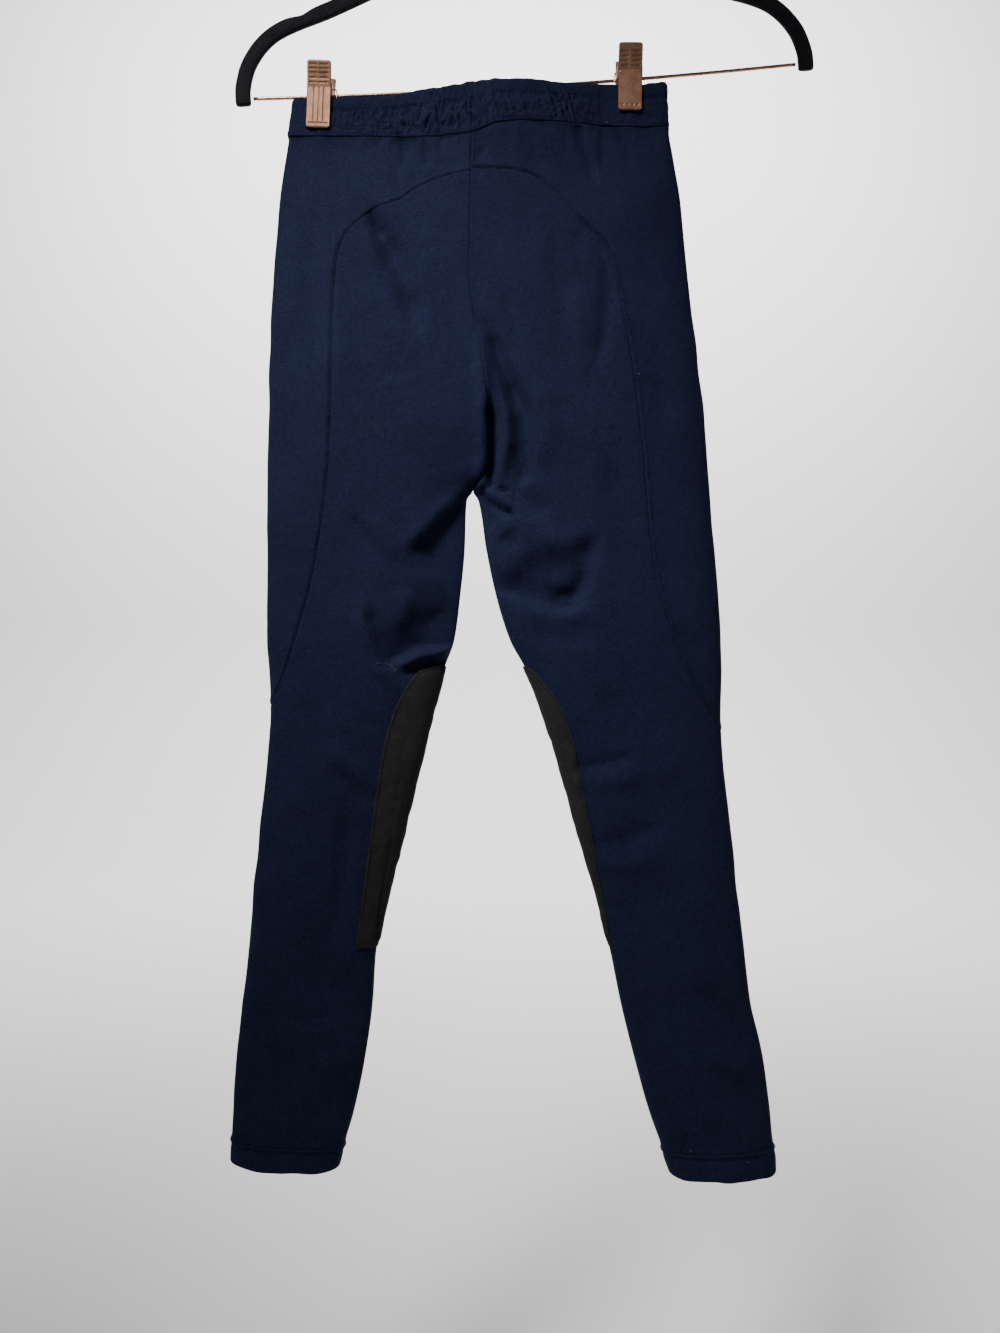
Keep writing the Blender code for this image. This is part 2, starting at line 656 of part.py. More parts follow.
def hanger_frame():
    """Both arms and their feet as one flat outline, stood up and hung at its tilt."""
    arm = np.array(ARM, float)
    walked = np.concatenate([[0], np.cumsum(np.hypot(*np.diff(arm, axis=0).T))])
    at = np.concatenate([np.linspace(0, walked[5], 13)[:-1], np.linspace(walked[5], walked[-1], 12)])
    table_x = list(zip(walked, arm[:, 0]))
    table_z = list(zip(walked, arm[:, 1]))
    x, z = through(table_x, 1, at), through(table_z, 1, at)
    tangent = unit(np.stack([np.gradient(x), np.gradient(z)], axis=-1))
    tangent[0] = (1, 0)
    normal = np.stack([-tangent[:, 1], tangent[:, 0]], axis=-1)
    half = ARM_HALF_WIDTH + NECK_EXTRA * np.exp(-((at / NECK_REACH) ** 2))
    notch = NOTCH_DEPTH * np.exp(-(((x - NOTCH_AT) / NOTCH_WIDTH) ** 2)) * (z > -150)
    middle = np.stack([x, z], axis=-1)
    upper = middle + normal * (half - notch)[:, None]
    lower = middle - normal * half[:, None]
    mirror = np.array([-1.0, 1.0])
    outline = np.concatenate([(upper * mirror)[:0:-1], upper, lower[:0:-1], lower * mirror])
    curve = flat_outline(outline, FRAME_HALF_DEPTH, FRAME_EDGE)
    stood = Matrix.Rotation(-HANGER_TILT, 4, "Y") @ Matrix.Rotation(math.pi / 2, 4, "X")
    return finished("hanger_frame", mesh_of(placed(curve, stood)), FLOCK)


def hanger_hook():
    """Stem out of the neck, then the round of the hook, which ends before it closes."""
    centre = -HOOK_RADIUS + WIRE_RADIUS
    angles = np.radians(np.arange(HOOK_FROM, HOOK_TO + 1, HOOK_STEP))
    turn = [(HOOK_RADIUS * math.cos(a), centre + HOOK_RADIUS * math.sin(a)) for a in angles]
    wire("hanger_hook", [hung(*p) for p in list(STEM) + turn], WIRE_RADIUS, ROSE_GOLD)


def bar_drop(along):
    return -BAR_DROP - BAR_SAG * (1 - (along / BAR_HALF) ** 2)


def hanger_bar():
    along = np.linspace(-BAR_HALF, BAR_HALF, 15)
    wire("hanger_bar", [hung(a, bar_drop(a)) for a in along], BAR_RADIUS, ROSE_GOLD)


def clip_place(side):
    """Where a clip's pivot is on the bar, with the clip's own tilt."""
    pivot = hung(CLIP_ALONG[side], bar_drop(CLIP_ALONG[side]))
    return Matrix.Translation(pivot) @ Matrix.Rotation(CLIP_TILT[side], 4, "Y")


def bar_line(side):
    """The pivot again, with Z turned to run along the bar, which slopes and sags."""
    slope = 2 * BAR_SAG * CLIP_ALONG[side] / BAR_HALF ** 2
    turn = Matrix.Rotation(math.pi / 2 - HANGER_TILT - math.atan(slope), 4, "Y")
    return Matrix.Translation(clip_place(side).translation) @ turn


def along_bar(shift=0.0):
    """Turns an outline drawn as (out, up) into a slice across the clip, moved along it."""
    return Matrix(((0, 0, 1, shift * MM), (1, 0, 0, 0), (0, 1, 0, 0), (0, 0, 0, 1)))


def jaw(side, name, out, ear_at):
    """A bent plate with two ears that the bar passes through. out is -1 for the jaw at the back of the
    garment and 1 for the one at its front."""
    face, back = JAW_FACE, JAW_FACE + JAW_PLATE
    profile = [(face, CLIP_GRIP), (back, CLIP_GRIP), (back, LEVER_FROM), (back + LEVER_SPREAD, CLIP_TOP),
               (face + LEVER_SPREAD, CLIP_TOP), (face, LEVER_FROM)]
    place = clip_place(side)
    plate = flat_outline([(out * y, s) for y, s in profile], CLIP_WIDTH / 2, PLATE_EDGE)
    body = placed(mesh_of(placed(plate, place @ along_bar())))
    root = face + EAR_ROOT
    ear_outline = [(root, EAR_LOW), (root, EAR_HIGH), (0.0, EAR_HIGH), (-EAR_PAST, EAR_SHOULDER),
                   (-EAR_PAST, EAR_LOW)]
    for way in (-1, 1):
        ear = flat_outline([(out * y, s) for y, s in ear_outline], EAR / 2)
        ear = placed(mesh_of(placed(ear, place @ along_bar(way * ear_at))))
        boolean(body, ear, "UNION")
    bpy.ops.mesh.primitive_cylinder_add(vertices=20, radius=EAR_HOLE * MM, depth=2 * CLIP_WIDTH * MM)
    drill = bpy.context.object
    drill.matrix_world = bar_line(side)
    boolean(body, drill, "DIFFERENCE")
    finished(name, mesh_of(body), ROSE_GOLD)


def boolean(body, tool, operation):
    """Joins the tool to the body or cuts it away, and drops the tool."""
    bpy.context.view_layer.update()
    cut = body.modifiers.new("cut", "BOOLEAN")
    cut.operation = operation
    cut.object = tool
    view = bpy.context.evaluated_depsgraph_get()
    mesh = bpy.data.meshes.new_from_object(body.evaluated_get(view))
    body.modifiers.clear()
    body.data = mesh
    bpy.data.objects.remove(tool)


def spring(side):
    """Coil on the bar between the ears, as one turned sleeve."""
    profile = [(SPRING_INNER, -SPRING_HALF), (SPRING_OUTER, -SPRING_HALF), (SPRING_OUTER, SPRING_HALF),
               (SPRING_INNER, SPRING_HALF)]
    mesh = bpy.data.meshes.new("sleeve")
    points = [(r * MM, 0.0, z * MM) for r, z in profile]
    mesh.from_pydata(points, [(0, 1), (1, 2), (2, 3), (3, 0)], [])
    maker = placed(mesh, bar_line(side))
    turn = maker.modifiers.new("turn", "SCREW")
    turn.steps = turn.render_steps = 16
    turn.merge_threshold = 0.00001
    turn.use_merge_vertices = True
    bpy.context.view_layer.update()
    finished("clip_" + side + "_spring", mesh_of(maker), ROSE_GOLD)


def main():
    for side in ("left", "right"):
        front_panel(side)
        seat_panel(side)
        waistband(side)
        knee_patch(side)
        hem(side)
    hanger_frame()
    hanger_hook()
    hanger_bar()
    for side in ("left", "right"):
        jaw(side, "clip_" + side + "_near", -1, CLIP_WIDTH / 2 - NEAR_EAR_INSET)
        jaw(side, "clip_" + side + "_far", 1, CLIP_WIDTH / 2 - FAR_EAR_INSET)
        spring(side)


for old in list(bpy.data.objects):
    bpy.data.objects.remove(old)
parts = bpy.data.collections.new("riding_breeches_on_hanger")
bpy.context.scene.collection.children.link(parts)
main()
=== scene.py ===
# Riding breeches on a clip hanger: the looks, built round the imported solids.
# Shapes are worked out in millimetres in the solids' own frame: +Z up, the back of the garment towards -Y.
import math

import bpy
import numpy as np
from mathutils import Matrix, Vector


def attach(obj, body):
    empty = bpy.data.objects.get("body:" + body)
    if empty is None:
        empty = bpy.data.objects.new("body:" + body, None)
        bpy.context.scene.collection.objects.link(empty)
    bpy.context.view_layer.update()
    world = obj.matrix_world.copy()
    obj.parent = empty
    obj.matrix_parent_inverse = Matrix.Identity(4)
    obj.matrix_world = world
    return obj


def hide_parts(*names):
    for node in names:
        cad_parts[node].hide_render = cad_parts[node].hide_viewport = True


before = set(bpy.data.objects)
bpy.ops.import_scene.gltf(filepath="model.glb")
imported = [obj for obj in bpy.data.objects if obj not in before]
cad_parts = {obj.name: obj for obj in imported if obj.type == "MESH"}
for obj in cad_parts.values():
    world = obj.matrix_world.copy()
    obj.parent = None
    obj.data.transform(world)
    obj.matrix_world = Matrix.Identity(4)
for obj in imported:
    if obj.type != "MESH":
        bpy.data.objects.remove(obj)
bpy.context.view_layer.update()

scene = bpy.context.scene
mm = 0.001
outwards = dict(left=-1, right=1)      # the way in x from the garment's middle to each leg's outer fold

# the garment's own sizes, the same as its solids have
breeches = dict(
    crotch=-503.0, waistSeam=-229.0, waistTop=-200.0,
    hemSeam=dict(left=-1001.5, right=-1006.0), hemEnd=dict(left=-1018.5, right=-1025.0),
    hemTilt=dict(left=-0.065, right=0.03), hemTiltFrom=-900.0, hemTiltEase=80.0,
    valley=150.0,            # height over which the centre seams sink in towards the crotch
    flatness=2.5,            # exponent of a leg's oval section
    frontSeam=(-24.0, -27.7),    # x of the centre-front seam at the waist and at the crotch
    centreGap=0.02, seamGap=0.07, inseamEase=15.0,
    clipDepth=4.8,           # half depth of the waist where the clips hold it
    bulge={-1: 9.5, 1: 7.0},          # slack between the clips, at the back and in front
    bulgeX=-3.0, bulgeWidth=46.0,
    waistEase=70.0, lineEase=29.0,    # heights over which the clipped shape and the waist's line fade out
    edgeWobble=0.5,
    foldStrength=1.75,
    foldFrom=4.0,            # folds begin this far below the waistband
    foldDepth=8.0, foldLimit=0.6,    # a tube thinner than this has weaker folds; the share that one may take
    cloth=1.5, casing=4.0, casingProud=0.8, hemCloth=3.2, hemProud=0.6,
    patchLift=0.3, patchThick=1.2, patchTop=-637.5, patchEnd=-852.5,
)

# height, outer fold of the left leg, its inner edge, inner edge of the right leg, its outer fold
outline = (
    (-200, -166.0, -26.5, -26.5, 121.0), (-229, -169.4, -28.5, -28.5, 122.6),
    (-252, -172.5, -28.5, -28.5, 127.0), (-279, -176.3, -29.0, -29.0, 131.7),
    (-310, -178.6, -29.5, -29.5, 134.8), (-340, -181.0, -30.0, -30.0, 137.8),
    (-394, -184.0, -22.0, -22.0, 144.0), (-448, -184.8, -15.5, -15.5, 150.2),
    (-486, -185.5, -16.2, -16.2, 153.2), (-503, -185.6, -27.7, -27.7, 154.5),
    (-510, -185.6, -32.3, -23.9, 155.0), (-548, -186.0, -33.9, -17.7, 157.8),
    (-587, -186.3, -37.7, -9.2, 160.9), (-618, -186.0, -42.0, 0.8, 162.9),
    (-639, -184.8, -49.5, 12.2, 163.2), (-672, -183.3, -58.6, 26.2, 162.6),
    (-710, -185.6, -67.8, 37.8, 164.8), (-764, -191.7, -80.9, 53.2, 170.9),
    (-818, -197.1, -94.0, 69.0, 176.3), (-860, -201.0, -102.5, 78.5, 181.0),
    (-895, -204.8, -104.7, 85.5, 185.6), (-941, -209.8, -111.3, 97.0, 195.6),
    (-979, -211.8, -119.7, 107.8, 200.6), (-1004, -213.2, -127.0, 116.8, 202.5),
    (-1018, -213.9, -130.1, 121.3, 203.8), (-1026, -214.2, -132.0, 124.0, 204.3),
)
outerColumn = dict(left=1, right=4)
innerColumn = dict(left=2, right=3)

# height, half depth of the hanging tube at the back, at the front
depthTable = (
    (-229, 13.0, 11.0), (-280, 16.0, 13.0), (-340, 19.0, 15.0), (-448, 20.0, 16.0), (-503, 19.0, 17.0),
    (-587, 19.0, 17.0), (-672, 17.0, 16.0), (-764, 15.0, 14.0), (-860, 14.0, 13.0), (-960, 13.5, 13.0),
    (-1003, 16.0, 15.0), (-1024, 21.5, 19.5),
)

# x, height of the waistband's top edge, height of the seam below it
waistLine = (
    (-172, -203.0, -232.0), (-140, -201.9, -232.6), (-107, -201.4, -233.0), (-60, -196.5, -233.8),
    (-28, -193.8, -232.5), (-8, -193.0, -226.5), (40, -192.5, -223.6), (100, -192.0, -225.5),
    (124, -189.2, -224.5),
)

# the arched seam from the centre back to the outer fold: height, x
archRows = dict(
    left=((-262.5, -28.3), (-264.0, -40.0), (-267.0, -52.4), (-273.9, -67.5), (-283.7, -82.5),
          (-291.3, -101.4), (-300.3, -112.8), (-311.7, -124.1), (-330.6, -130.2), (-360.8, -132.4),
          (-436.0, -134.0), (-474.0, -135.5), (-512.0, -139.2), (-550.0, -144.5), (-580.0, -150.6),
          (-607.0, -158.6), (-633.0, -167.1), (-656.0, -176.3), (-668.0, -183.4)),
    right=((-260.4, -28.3), (-261.6, -6.9), (-263.2, 8.2), (-265.8, 15.8), (-272.3, 27.1),
           (-285.2, 38.4), (-301.8, 53.6), (-315.5, 68.7), (-330.6, 76.2), (-360.8, 83.8),
           (-421.0, 94.4), (-459.0, 98.9), (-497.0, 102.7), (-542.0, 106.5), (-580.0, 112.8),
           (-611.0, 122.4), (-641.0, 134.0), (-664.0, 146.3), (-687.0, 162.6)),
)
shoulderRow = 7      # row of the arch where its top turns into its side
outseamTable = ((0.0, 0.0), (-30.0, 0.25), (-90.0, 0.45), (-360.0, 0.5))    # drop below the arch, angle

# height, how far the knee patch reaches from the inner edge: left back, right back, left front, right front
patchReach = (
    (-503.0, 34.0, 34.0, 42.0, 42.0), (-600.0, 24.0, 20.0, 30.0, 30.0), (-637.5, 8.0, 3.0, 12.0, 14.0),
    (-641.0, 17.5, 6.0, 26.0, 30.0), (-648.0, 22.0, 8.5, 36.0, 42.0), (-661.0, 26.5, 13.5, 46.0, 52.0),
    (-675.0, 29.0, 15.0, 50.0, 58.0), (-694.0, 30.0, 15.5, 53.0, 62.0), (-720.0, 28.5, 13.0, 54.0, 63.0),
    (-762.0, 24.0, 10.0, 50.0, 58.0), (-800.0, 19.8, 5.2, 44.0, 52.0), (-830.0, 17.0, 3.0, 40.0, 47.0),
    (-852.5, 15.0, 2.0, 37.0, 44.0), (-920.0, 22.0, 20.0, 34.0, 36.0), (-1000.0, 22.0, 22.0, 26.0, 26.0),
)
patchBack = dict(left=1, right=2)
patchFront = dict(left=3, right=4)

# folds: face (-1 back, 1 front), half width, lean (1 steep on the upper side, -1 on the
# lower), height (a trough is negative), share of it left at the start and at the end, route in x and height
folds = (
    # left seat: soft valley from the arch
    (-1, 8.5, 0, -4, 0.5, 0, ((-102, -298), (-93, -316), (-82, -340), (-71, -376), (-62, -399))),
    (-1, 4, 0, -2.2, 0.5, 0, ((-104, -296), (-100, -305), (-95, -316))),
    (-1, 5, 0, 0.9, 0.6, 0, ((-111, -302), (-104, -320), (-95, -340))),
    (-1, 10, 0, -1.3, 0, 0, ((-148, -278), (-149, -331), (-150, -384), (-148, -437))),
    (-1, 8, 0, 1, 0, 0, ((-125, -333), (-128, -384), (-128, -452))),
    (-1, 12, 0, -0.9, 0, 0, ((-165, -361), (-167, -437), (-165, -512))),
    # centre back: hollow, lip and valley above the crotch
    (-1, 5, 0, -1.6, 0, 1, ((-22, -375), (-14, -388), (-5, -400))),
    (-1, 8.5, 0.75, -6.2, 0.5, 0.8, ((-11, -395), (1, -422), (11, -444), (14, -467), (13, -492))),
    (-1, 5, 0, 2.6, 0, 0.6, ((-14, -399), (-5, -430), (-1, -450), (-1, -467), (-6, -488), (-12, -500))),
    (-1, 3.4, 0, -5.5, 0, 1, ((-16, -425), (-13, -448), (-11, -467), (-13, -498))),
    (-1, 6.5, 0, 2.3, 0, 1, ((-20, -375), (-18, -410), (-17, -440))),
    (-1, 5, 0, 2.4, 0.1, 1, ((-21, -425), (-20, -455), (-20, -480), (-22, -500))),
    (-1, 9, 0, 1.6, 0, 0, ((23, -414), (28, -452), (26, -497))),
    (-1, 3, 0, -0.8, 0, 0, ((-7, -354), (3, -378), (11, -399))),
    # creases that fan out from the crotch
    (-1, 2.6, 0, 1.6, 1, 0, ((-16, -507), (-6, -513), (4, -520))),
    (-1, 2.2, 0, -1.8, 1, 0, ((-14, -500), (-6, -504), (3, -506))),
    (-1, 7, 0, -4, 1, 0, ((-23, -508), (-20, -520), (-18, -536))),
    (-1, 2.4, 0, -1.8, 1, 0, ((-14, -514), (-5, -520), (6, -526))),
    (-1, 8, 0, -1.6, 0, 0, ((2, -496), (14, -512), (32, -530))),
    (-1, 8, 0, -1.7, 0, 0, ((-5, -535), (1, -542), (10, -542))),
    (-1, 9, 0, 1, 0, 0, ((8, -521), (27, -539), (44, -547))),
    # right seat
    (-1, 9, 0, -1.5, 0, 0, ((32, -290), (38, -339), (41, -365), (38, -399))),
    (-1, 6, 0, -0.9, 0.5, 0, ((55, -310), (51, -320), (47, -333))),
    (-1, 6, 0, -1.7, 0.4, 0, ((69, -322), (75, -354), (72, -388), (64, -422))),
    (-1, 9, 0, -0.9, 0, 0, ((110, -376), (115, -422), (117, -474))),
    (-1, 8, 0, 0.8, 0, 0, ((53, -346), (55, -391), (52, -437))),
    (-1, 10, 0, -1, 0, 0, ((78, -467), (82, -512), (91, -558))),
    # right thigh: triangular hollow
    (-1, 12, -0.7, -4.4, 0.3, 0.8, ((-10, -577), (8, -580), (27, -587), (44, -591))),
    (-1, 10, -0.7, -3.8, 0.8, 0, ((44, -590), (54, -578), (61, -552), (68, -534))),
    (-1, 17, 0, -2.2, 0.4, 0, ((6, -560), (31, -566), (52, -560))),
    (-1, 8, 0, 0.5, 0, 0, ((-5, -594), (23, -597), (50, -599), (66, -576))),
    (-1, 9, 0, 1.5, 0, 0, ((16, -538), (38, -547), (63, -538))),
    (-1, 12, 0, -0.8, 0, 0, ((4, -609), (38, -618), (76, -610))),
    # left thigh: the seat hangs over it
    (-1, 18, 0.25, -3.7, 1, 0, ((-33, -528), (-52, -546), (-76, -571))),
    (-1, 7, 0, 1.8, 0.6, 0, ((-34, -505), (-55, -524), (-84, -555))),
    (-1, 17, 0, -3.6, 0.8, 0.3, ((-36, -542), (-45, -568), (-52, -602))),
    (-1, 5, 0, -1, 0, 0, ((-123, -516), (-110, -541), (-93, -568))),
    (-1, 6, 0, 1.4, 0, 0, ((-113, -516), (-95, -541), (-81, -562))),
    (-1, 8, 0, 1, 0, 0, ((-75, -576), (-79, -595), (-85, -612))),
    # left knee: pocket above the patch
    (-1, 4, 0, -2.4, 0, 0.8, ((-107, -589), (-100, -612), (-90, -633))),
    (-1, 6, 0, 1.9, 0, 0.3, ((-110, -579), (-110, -604), (-102, -630), (-90, -651), (-81, -656))),
    (-1, 12, -0.9, -5.2, 0.5, 1, ((-87, -631), (-68, -622), (-43, -618))),
    (-1, 14, 0, -1.6, 0, 1, ((-81, -606), (-64, -600), (-41, -597))),
    (-1, 5, 0, 3.4, 0.2, 1, ((-88, -639), (-69, -630), (-41, -624))),
    (-1, 2.5, 0, -1, 0, 0, ((-102, -636), (-91, -639), (-79, -639))),
    (-1, 4, 0, -1.4, 0.3, 1, ((-79, -644), (-64, -636), (-45, -634))),
    # left lower leg
    (-1, 8, 0, 1.1, 0, 0.6, ((-144, -690), (-124, -712), (-101, -728))),
    (-1, 7, 0, -1.1, 0, 0.8, ((-137, -712), (-120, -730), (-104, -739))),
    (-1, 8, 0, -2.2, 0, 0, ((-129, -727), (-122, -761), (-125, -793), (-129, -826), (-132, -860))),
    (-1, 5, 0, 1.0, 0, 0, ((-117, -739), (-117, -784), (-120, -818))),
    (-1, 9, 0, -1.9, 0, 0, ((-141, -833), (-144, -871), (-138, -905), (-131, -929))),
    (-1, 16, 0, -1.6, 0, 0, ((-119, -856), (-120, -890), (-123, -927))),
    (-1, 12, 0, 1.4, 0, 0, ((-147, -934), (-129, -938), (-113, -932))),
    (-1, 12, 0, 0.9, 0, 0, ((-184, -776), (-158, -814), (-150, -837))),
    (-1, 12, 0, -1.0, 0, 0, ((-187, -860), (-176, -890), (-181, -927))),
    (-1, 9, 0, 0.9, 0, 0, ((-158, -980), (-150, -961), (-141, -952))),
    # right lower leg
    (-1, 6, 0, -1.0, 0.6, 0, ((52, -715), (69, -713), (99, -702))),
    (-1, 7, 0, 0.8, 0.5, 0, ((56, -725), (78, -727), (106, -716))),
    (-1, 8, 0, -1.4, 0.6, 0, ((67, -773), (88, -770), (117, -758))),
    (-1, 7, 0, 0.7, 0.3, 0, ((69, -789), (93, -789), (120, -778))),
    (-1, 6, 0, -1.0, 0.3, 0, ((73, -818), (87, -826), (99, -841))),
    (-1, 12, 0, -2.0, 0, 0.4, ((132, -881), (153, -893), (173, -917), (191, -932))),
    (-1, 9, 0, 1.3, 0, 0.4, ((144, -927), (170, -944), (191, -940))),
    (-1, 13, 0, -1.0, 0, 0, ((99, -882), (123, -920), (137, -958))),
    (-1, 9, 0, 0.9, 0, 0, ((138, -965), (149, -979), (156, -991))),
    (-1, 12, 0, 0.9, 0, 0, ((137, -769), (148, -814), (144, -860))),
    # yoke: short drags below the waistband
    (-1, 3.4, 0, -2.5, 0.5, 0.1, ((51, -228), (55, -240), (62, -256), (67, -272))),
    (-1, 3.6, 0, 1.5, 0.5, 0, ((58, -229), (63, -243), (70, -260))),
    (-1, 3.2, 0, -2.2, 0.4, 0, ((82, -228), (87, -240), (95, -256))),
    (-1, 4, 0, 0.7, 0.4, 0, ((89, -230), (94, -242), (101, -254))),
    (-1, 3, 0, -0.9, 0.5, 0, ((70, -229), (71, -242), (71, -260))),
    (-1, 3, 0, -1.7, 0.25, 0, ((-82, -232), (-81, -243), (-78, -256))),
    (-1, 3, 0, -1.9, 0.25, 0, ((-64, -233), (-64, -246), (-62, -260))),
    (-1, 3, 0, -0.6, 0, 0, ((-54, -246), (-43, -256), (-31, -260))),
    (-1, 4, 0, -0.7, 0, 0.6, ((-85, -253), (-87, -269), (-82, -284))),
    (-1, 5, 0, 0.7, 0, 0.6, ((-78, -256), (-79, -269), (-75, -280))),
    (-1, 3, 0, -1.5, 0.3, 0, ((-22, -229), (-19, -242), (-24, -256))),
    (-1, 4, 0, -0.6, 0, 0, ((16, -243), (20, -254), (28, -262))),
    (-1, 10, 0, 0.6, 0, 0, ((99, -248), (106, -286), (109, -316))),
    # front: the same kinds of valleys and short creases
    (1, 9, 0, -2.6, 0.4, 0, ((-98, -300), (-88, -340), (-70, -392))),
    (1, 9, 0, -2.2, 0.4, 0, ((52, -304), (44, -344), (30, -398))),
    (1, 8, 0, -4.0, 0, 0.8, ((-66, -424), (-46, -456), (-30, -492))),
    (1, 8, 0, -4.0, 0, 0.8, ((32, -412), (4, -452), (-18, -490))),
    (1, 5, 0, 1.8, 0, 0.6, ((-48, -420), (-36, -452), (-28, -484))),
    (1, 5, 0, 1.8, 0, 0.6, ((14, -410), (-8, -450), (-22, -482))),
    (1, 9, 0, -3.2, 0.8, 0, ((-46, -524), (-82, -562), (-116, -604))),
    (1, 7, 0, 1.6, 0.6, 0, ((-44, -545), (-84, -588), (-110, -628))),
    (1, 9, 0, -3.0, 0.8, 0, ((-4, -540), (40, -580), (92, -606))),
    (1, 7, 0, 1.5, 0.6, 0, ((4, -566), (46, -604), (90, -630))),
    (1, 8, 0, -2.4, 0.6, 0, ((-78, -664), (-104, -676), (-140, -672))),
    (1, 8, 0, -2.2, 0.6, 0, ((48, -674), (80, -690), (122, -684))),
    (1, 6, 0, 1.4, 0.4, 0, ((-84, -684), (-112, -694), (-146, -690))),
    (1, 12, 0, -1.4, 0, 0, ((-150, -300), (-156, -400), (-160, -500))),
    (1, 12, 0, -1.4, 0, 0, ((100, -300), (112, -400), (124, -500))),
    (1, 9, 0, -1.9, 0, 0, ((-150, -780), (-158, -860), (-164, -960))),
    (1, 10, 0, -1.8, 0, 0.4, ((150, -800), (166, -880), (182, -960))),
    (1, 8, 0, -1.6, 0.4, 0, ((104, -810), (128, -806), (158, -790))),
)


def smoothCurve(rows, column, at):
    # a table's column read anywhere along its first column: a cubic through the rows whose slope at each
    # row is the weighted harmonic mean of the slopes beside it, so that it never swings past a row
    table = np.array(sorted(rows), float)
    xs, ys = table[:, 0], table[:, column]
    step = np.diff(xs)
    rise = np.diff(ys) / step
    slope = np.zeros_like(ys)
    one, two = 2 * step[1:] + step[:-1], step[1:] + 2 * step[:-1]
    turns = rise[:-1] * rise[1:] <= 0
    before, after = np.where(turns, 1, rise[:-1]), np.where(turns, 1, rise[1:])
    slope[1:-1] = np.where(turns, 0, (one + two) / (one / before + two / after))
    slope[0], slope[-1] = rise[0], rise[-1]
    at = np.clip(at, xs[0], xs[-1])
    i = np.clip(np.searchsorted(xs, at, side="right") - 1, 0, len(step) - 1)
    t = (at - xs[i]) / step[i]
    start = ys[i] * (1 + 2 * t) + slope[i] * step[i] * t
    end = ys[i + 1] * (3 - 2 * t) - slope[i + 1] * step[i] * (1 - t)
    return start * (1 - t) ** 2 + end * t * t


def ease(t):
    t = np.clip(t, 0.0, 1.0)
    return t * t * (3 - 2 * t)


def unit(vectors):
    return vectors / np.maximum(np.linalg.norm(vectors, axis=-1, keepdims=True), 1e-9)


def bump(distance, width):
    # a bell: 1 at no distance, falling off with its square
    return np.exp(-((distance / width) ** 2))


def quarterRound(share):
    # rises from 0 to 1 like a quarter circle, steep at first
    return np.sqrt(1 - (1 - share) ** 2)


def signedPower(value, power):
    return np.sign(value) * np.abs(value) ** power


def walkedAlong(line):
    # distance of each point of a line from its first point
    return np.concatenate([[0], np.cumsum(np.linalg.norm(np.diff(line, axis=0), axis=-1))])


def uneven(x, z, size, seed):
    # smooth noise from -1 to 1: a hashed height at each corner of a lattice of the given size, eased between
    gx, gz = np.asarray(x, float) / size, np.asarray(z, float) / size
    ix, iz = np.floor(gx), np.floor(gz)
    sx, sz = ease(gx - ix), ease(gz - iz)

    def corner(dx, dz):
        height = np.sin((ix + dx) * 12.9898 + (iz + dz) * 78.233 + seed * 37.719) * 43758.5453
        return 2 * (height - np.floor(height)) - 1

    low = corner(0, 0) * (1 - sx) + corner(1, 0) * sx
    high = corner(0, 1) * (1 - sx) + corner(1, 1) * sx
    return low * (1 - sz) + high * sz


# ---- the cloth's surface: an angle round the leg and a height give a point

def seamShare(v):
    # depth of the centre seams as a share of the tube's: none at the crotch, all of it above the valley
    return quarterRound(np.clip((v - breeches["crotch"]) / breeches["valley"], 0.0, 1.0))


def seamReach(v):
    flat = breeches["flatness"]
    return np.clip(1 - seamShare(v) ** flat, 0, 1) ** (1 / flat)


def seamAngle(v):
    return np.arccos(-seamReach(v) ** (breeches["flatness"] / 2))


def outerEdge(side, v):
    row = v * 0 + (3 if side == "left" else 9)
    wobble = breeches["edgeWobble"] * uneven(v, row, 23, 1) * ease((-240 - v) / 60)
    return smoothCurve(outline, outerColumn[side], v) + wobble


def innerEdge(side, v):
    # the leg's inner edge, and above the crotch the centre seam that both legs share
    left = smoothCurve(outline, innerColumn["left"], v)
    right = smoothCurve(outline, innerColumn["right"], v)
    own = left if side == "left" else right
    return np.where(v > breeches["crotch"], (left + right) / 2, own)


def tubeWidth(side, v, front):
    # width of the whole oval that a half is cut from, so that the seam's share of it is where the seam is
    inner = innerEdge(side, v)
    share = np.clip((v - breeches["waistTop"]) / (breeches["crotch"] - breeches["waistTop"]), 0, 1)
    top, end = breeches["frontSeam"]
    inner = np.where(front & (v > breeches["crotch"]), top + (end - top) * share, inner)
    inner = inner + outwards[side] * breeches["centreGap"]
    return (inner - outerEdge(side, v)) * 2 / (1 + seamReach(v))


def beyond(route, x, z):
    # distance to a route, share of its length at the nearest point, and height above it (below: minus)
    points = np.array(route, float)
    hops = np.hypot(*np.diff(points, axis=0).T)
    way = 1 if points[-1, 0] > points[0, 0] else -1
    best, along, above, walked = np.full(x.shape, 1e9), np.zeros(x.shape), np.zeros(x.shape), 0.0
    for (x0, z0), (x1, z1), hop in zip(points[:-1], points[1:], hops):
        t = np.clip(((x - x0) * (x1 - x0) + (z - z0) * (z1 - z0)) / hop ** 2, 0, 1)
        away = np.hypot(x - x0 - t * (x1 - x0), z - z0 - t * (z1 - z0))
        nearer = away < best
        along = np.where(nearer, (walked + t * hop) / hops.sum(), along)
        above = np.where(nearer, way * ((x1 - x0) * (z - z0) - (z1 - z0) * (x - x0)) / hop, above)
        best = np.minimum(best, away)
        walked += hop
    return best, along, above


